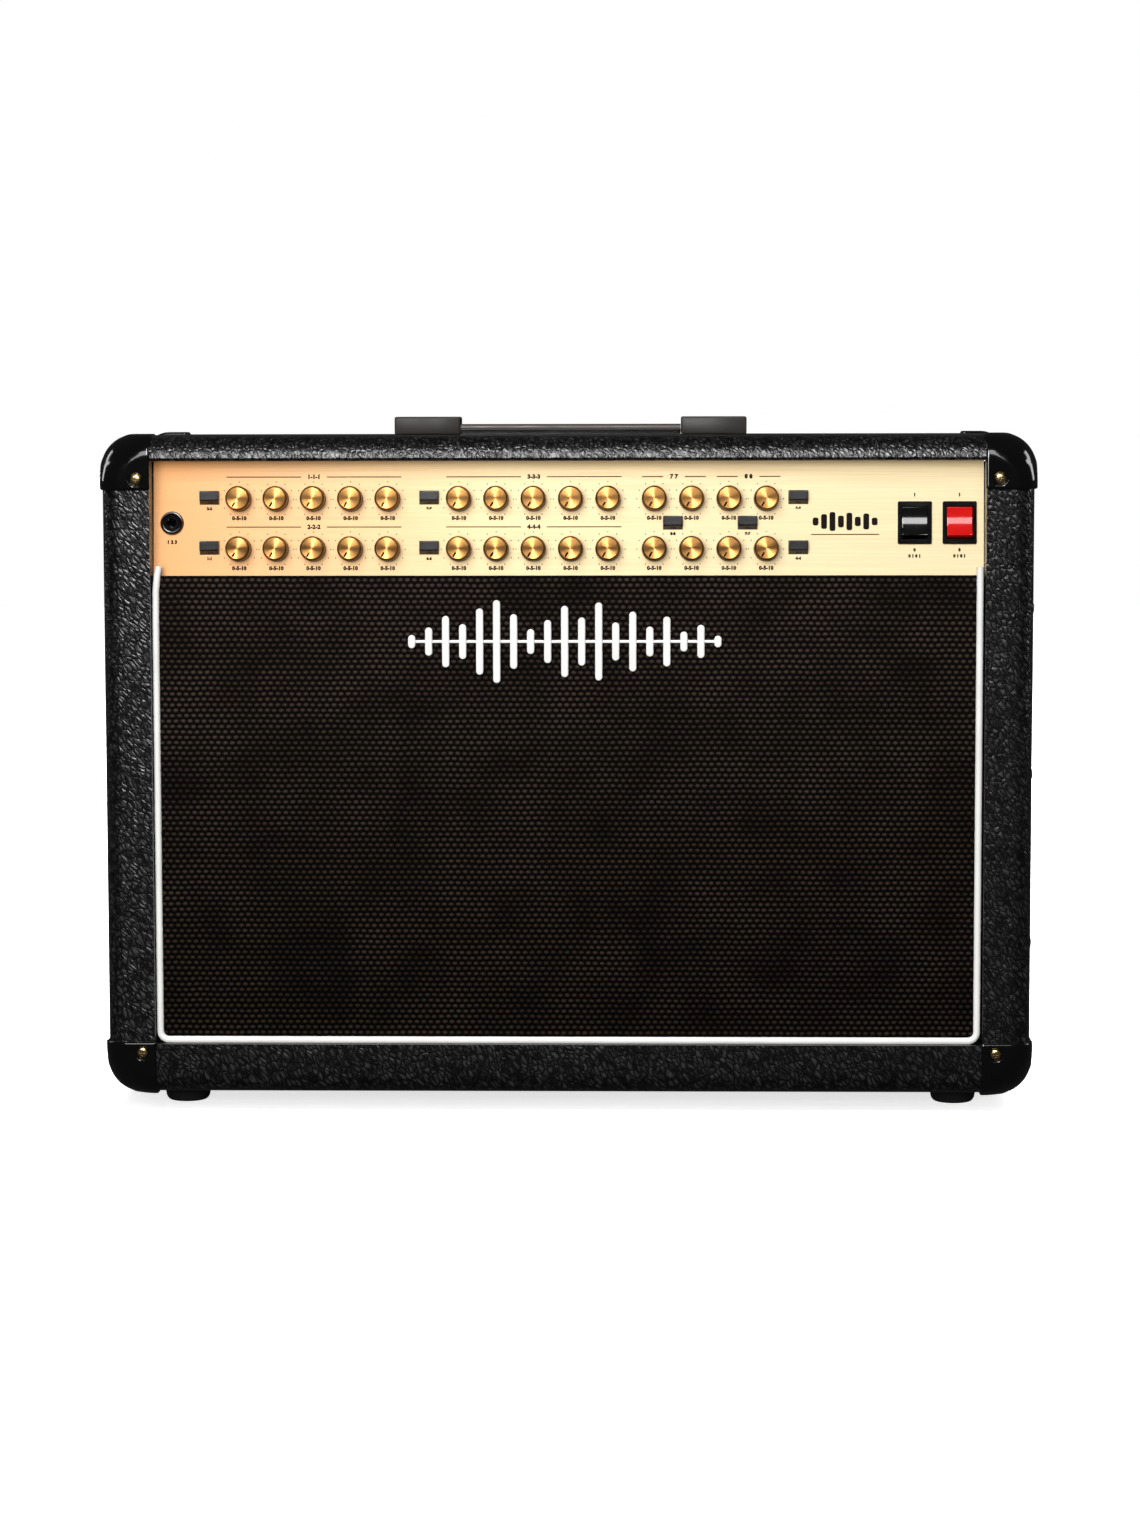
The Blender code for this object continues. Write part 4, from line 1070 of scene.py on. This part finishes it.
def chassis():
    """The folded tray with its rear jacks and its mains inlet."""
    low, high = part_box("chassis")
    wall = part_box("rear_panel_upper")[1].y
    inlet_low, inlet_high = (Vector(corner) for corner in OPENINGS["mains_inlet"])
    inlet = (inlet_low + inlet_high) / 2
    sockets = {
        name: facing((0, 1, 0), ((a[0] + b[0]) / 2, wall, (a[2] + b[2]) / 2))
        for name, (a, b) in OPENINGS.items()
        if "_socket_" in name
    }
    sheet, front_face, lip_top = 0.0015, 0.0023, 0.0415
    tray = Shape().box(low, (high.x, wall, high.z))
    for vert in tray.mesh.verts:
        if vert.co.y < 0:
            lean = (vert.co.z - PANEL_CENTRE.z) * tan(radians(PANEL_LEAN))
            vert.co.y = PANEL_CENTRE.y + front_face + lean
    lids = [face for face in tray.mesh.faces if face.calc_center_median().z > high.z - 0.001]
    bmesh.ops.delete(tray.mesh, geom=lids, context="FACES_ONLY")
    tray = made_with(tray, ("SOLIDIFY", {"thickness": sheet, "offset": -1, "use_even_offset": True}))
    holes, inlet_hole, front = Shape(), Shape(), Shape()
    for place in sockets.values():
        holes.turned(rod(0.0056, -0.02, 0.02), 24, 0, place)
    wide, tall = 0.0125, 0.0085
    inlet_hole.box(
        (inlet.x - wide, wall - 0.02, inlet.z - tall), (inlet.x + wide, wall + 0.02, inlet.z + tall)
    )
    for left, right in ((-0.309, -0.122), (-0.116, 0.042), (0.05, 0.182), (0.234, 0.306)):
        front.box((left, -0.125, PANEL_CENTRE.z - 0.034), (right, -0.085, high.z - 0.003))
    tray = Shape().take(rounded(cut(tray, holes, inlet_hole, front), 0.0004, 1, 60))
    # A lip over the front wall closes the gap behind the panel's top edge
    tray.box((-high.x, front_face, 0.0325), (high.x, front_face + sheet, lip_top), 0, PANEL)
    add("chassis_tray", tray, PAINT, replaces=["chassis"])

    nut = Shape().prism(hexagon(0.00725, 0.5), 0.0006, 0.0021)
    nut = cut(nut, Shape().turned(rod(0.005, -0.01, 0.01), 24))
    washer = [(0.005, 0.0006), (0.0066, 0.0006), (0.0066, 0.0001), (0.005, 0.0001)]
    bush = [(0.0035, 0.0024), (0.0048, 0.0024), (0.005, 0.0021), (0.005, -0.012), (0.0035, -0.012)]
    body = [(0.0035, -0.0018), (0.0066, -0.0018), (0.0066, -0.013), (0.0035, -0.013)]
    whole = Shape().take(rounded(nut, 0.0002, 1, 40), 0)
    whole.turned(washer, 32, 0).turned(bush, 32, 1).turned(body, 24, 1)
    jack = solid(whole)
    jack.set_sharp_from_angle(angle=radians(35))
    for name, place in sockets.items():
        add(f"jack_{name}", jack, [STEEL, BLACK], matrix=place)

    def tablet(width, height, radius, steps, low, high):
        return Shape().prism(rounded_outline(width, height, radius, steps), low, high)

    plate = tablet(0.029, 0.021, 0.003, 4, 0.0001, 0.0024)
    plate = cut(plate, tablet(0.0245, 0.0165, 0.0025, 4, -0.012, 0.01))
    core = tablet(0.0248, 0.0168, 0.002, 3, -0.017, 0.0005)
    core = cut(core, tablet(0.0225, 0.0145, 0.0018, 3, -0.0155, 0.01))
    whole = Shape().take(rounded(plate, 0.0004, 2, 40), 0).take(core, 0)
    for x, z in ((-0.006, -0.002), (0.006, -0.002), (0.0, 0.003)):
        whole.box((x - 0.001, z - 0.002, -0.0156), (x + 0.001, z + 0.002, -0.004), 1)
    place = move(inlet.x, wall, inlet.z) @ turn(-90, "X")
    add("mains_inlet_socket", whole, [BLACK, STEEL], sharp=35, matrix=place)


def rear_boards(steel_head):
    repaint("rear_panel_upper", PAINT)
    repaint("rear_panel_lower", VINYL)
    for node, z_places in (("rear_panel_upper", (0.0085,)), ("rear_panel_lower", (0.01, 0.078, 0.146))):
        low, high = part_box(node)
        spots = [(x * (high.x - 0.009), low.z + z) for x in (-1, 1) for z in z_places]
        if node == "rear_panel_upper":
            spots += [(x, high.z - 0.0065) for x in (-0.3, -0.1, 0.1, 0.3)]
        for number, (x, z) in enumerate(spots):
            matrix = facing((0, 1, 0), (x, high.y, z))
            add(f"screw_{node}_{number + 1}", steel_head, STEEL, matrix=matrix)


def transformers():
    """Laminated stacks with rims and end covers, bolted through and hung from a plate."""
    rim = 0.0016
    bolt = [(0, 0.0062), (0.0018, 0.0062), (0.0022, 0.0056), (0.0022, 0), (0, 0)]
    for node in ("mains_transformer", "output_transformer"):
        low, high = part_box(node)
        middle = (low + high) / 2
        bottom, top, wide, deep = low.z, high.z, (high.x - low.x - 0.012) / 2, (high.y - low.y) * 0.22

        def block(x, y, z0, z1):
            return Shape().box((middle.x - x, middle.y - y, z0), (middle.x + x, middle.y + y, z1))

        stack = rounded(block(wide, deep, bottom, top - 0.0025), 0.0008, 2)
        cover = block(wide * 0.72, (high.y - low.y) / 2, bottom + 0.008, top - 0.0105)
        rims = Shape()
        for y in (-1, 1):
            edge = middle.y + y * deep
            ends = sorted((edge, edge + y * rim))
            rims.box((middle.x - wide + 0.001, ends[0], bottom + 0.001),
                     (middle.x + wide - 0.001, ends[1], top - 0.003))
        plate = Shape().box((low.x, low.y, top - 0.002), high)
        whole = Shape().take(stack, 0).take(rounded(cover, 0.012, 6), 1)
        whole.take(rounded(rims, 0.0006, 2), 1).take(rounded(plate, 0.0006, 1), 1)
        for x in (-1, 1):
            for z in (bottom + 0.009, top - 0.013):
                for y in (-1, 1):
                    seat = (middle.x + x * (wide - 0.009), middle.y + y * (deep + rim), z)
                    place = facing((0, y, 0), seat)
                    whole.prism(hexagon(0.0046), -0.0002, 0.0034, 2, place)
                    whole.turned(bolt, 12, 2, place)
        finishes = [LAMINATED, PAINT, STEEL]
        add(f"wound_{node}", whole, finishes, sharp=35, replaces=[node])


def valves():
    """Four power valves that hang from their socket rail, each a glass bulb round its electrodes."""
    low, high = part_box("power_valves")
    seat = high.z - 0.004
    rail = rounded(Shape().box((low.x, low.y, seat), high), 0.0008, 2)
    add("valve_socket_rail", rail, BASE, replaces=["power_valves"])
    bulb = [
        (0, -0.084), (0.006, -0.0825), (0.0115, -0.0785), (0.015, -0.072), (0.0158, -0.066),
        (0.0158, -0.03), (0.015, -0.024), (0.0146, -0.019), (0.0136, -0.019), (0.014, -0.024),
        (0.0148, -0.03), (0.0148, -0.0655), (0.014, -0.0712), (0.0108, -0.0775), (0.0056, -0.0815),
        (0, -0.0828),
    ]
    bulb = solid(Shape().turned(bulb, 40))
    bulb.set_sharp_from_angle(angle=radians(60))
    base = [(0, 0.001), (0.0163, 0.001), (0.0165, 0), (0.0165, -0.0185), (0.016, -0.02), (0, -0.02)]
    getter = [(0, -0.082), (0.0052, -0.08), (0.01, -0.0762), (0.0092, -0.0755), (0.0046, -0.079)]
    inner = Shape().turned(base, 40, 0)
    inner.prism(rounded_outline(0.02, 0.009, 0.004, 4), -0.064, -0.026, 1)
    inner.box((-0.0128, -0.0006, -0.062), (0.0128, 0.0006, -0.028), 1)
    for spacer in (-0.066, -0.025):
        inner.turned(list(reversed(rod(0.0135, spacer, spacer + 0.001))), 32, 1)
    inner = solid(inner.turned([*getter, (0, -0.0808)], 32, 2))
    inner.set_sharp_from_angle(angle=radians(35))
    glass = bulb_glass()
    for number, x in enumerate((-0.105, -0.055, -0.005, 0.045)):
        matrix = move(x, (low.y + high.y) / 2, seat)
        add(f"power_valve_bulb_{number + 1}", bulb, glass, matrix=matrix)
        add(f"power_valve_inside_{number + 1}", inner, [BASE, ANODE, STEEL], matrix=matrix)


# Setting

def aimed(name, light, place, direction):
    lamp = loose(name, light)
    lamp.location = place
    lamp.rotation_euler = Vector(direction).to_track_quat("-Z", "Y").to_euler()
    return lamp


def floor_and_sky():
    """A lit white table, and a sky that is white to the camera and dim to everything else."""
    paper = Finish("pale_floor_paper", (0.93, 0.93, 0.93), 0.9, Specular_IOR_Level=0.0)
    paper.paint(paper.between(paper.noise(900.0), 0.3, 0.7), (0.92, 0.92, 0.92), (0.94, 0.94, 0.94))
    paper.set("Emission Color", (1, 1, 1, 1))
    paper.set("Emission Strength", 0.72)
    mesh = solid(Shape().box((-9, -9, -0.02), (9, 7, 0)))
    mesh.materials.append(paper.material)
    floor = loose("floor", mesh)
    floor.visible_glossy = floor.visible_diffuse = False

    SCENE.world = bpy.data.worlds.new("studio")
    SCENE.world.use_nodes = True
    tree = SCENE.world.node_tree
    background = tree.nodes["Background"]
    path = tree.nodes.new("ShaderNodeLightPath")
    mix = tree.nodes.new("ShaderNodeMix")
    mix.data_type = "FLOAT"
    mix.inputs[2].default_value, mix.inputs[3].default_value = 0.035, 1.0
    tree.links.new(path.outputs["Is Camera Ray"], mix.inputs[0])
    tree.links.new(mix.outputs[0], background.inputs["Strength"])
    background.inputs["Color"].default_value = (1, 1, 1, 1)


def lights():
    """Light for the matt faces and light for the highlights come from separate boxes."""
    sun = bpy.data.lights.new("overhead_light", "SUN")
    sun.energy = 3.0
    sun.angle = radians(30)
    aimed("overhead_light", sun, (0, 0, 0), (0.02, 0.05, -1.0)).visible_glossy = False
    matt, shine = "visible_glossy", "visible_diffuse"
    for name, place, aim, size, power, unseen in (
        ("front_light", (-0.4, -2.9, 0.72), (0, -0.1, 0.4), (1.4, 0.9), 74, matt),
        ("upper_light", (-0.9, -2.3, 1.9), (0, -0.1, 0.4), (0.8, 0.6), 15, matt),
        ("back_light", (0.8, 3.2, 2.2), (0, 0, 0.3), (2.4, 1.4), 260, matt),
        ("back_highlight", (-0.5, 2.6, 0.25), (0, 0, 0.3), (1.6, 0.4), 14, shine),
        ("highlight_box", (-0.2, -2.1, 1.59), (0, -0.1, 0.44), (0.45, 1.2), 34, shine),
        ("wide_highlight_box", (-0.08, -2.2, 1.3), (0, -0.1, 0.44), (1.9, 0.75), 21, shine),
        ("right_highlight", (2.4, 0.5, 1.2), (0.1, 0, 0.4), (0.5, 1.2), 9, "visible_camera"),
        ("left_highlight", (-2.3, 0.7, 1.2), (-0.1, 0, 0.4), (0.4, 1.2), 7, "visible_camera"),
    ):
        light = bpy.data.lights.new(name, "AREA")
        light.shape = "RECTANGLE"
        light.size, light.size_y = size
        light.energy = power
        lamp = aimed(name, light, place, Vector(aim) - Vector(place))
        lamp.visible_camera = False
        setattr(lamp, unseen, False)


def camera():
    lens = bpy.data.cameras.new("camera")
    lens.lens, lens.sensor_width, lens.clip_end = 89.915, 36, 100
    eye = loose("camera", lens)
    eye.location = (0.0696, -2.907, 0.5189)
    eye.rotation_euler = [radians(angle) for angle in (90 - 5.296, 0.102, 1.385)]
    SCENE.camera = eye
    SCENE.view_settings.view_transform = "Standard"


brass_screw, steel_screw = screw_mesh(0.0042, 0.0018), screw_mesh(0.0034, 0.0014)
cabinet()
corner_protectors(brass_screw)
side_screws(brass_screw)
feet(steel_screw)
handle()
grille_cloth()
piping()
wave_badge()
repaint("control_panel", GOLD)
repaint("baffle_board", PLY)
knobs()
buttons()
rockers()
control_board()
panel_marks()
speakers()
chassis()
rear_boards(steel_screw)
transformers()
valves()
floor_and_sky()
lights()
camera()
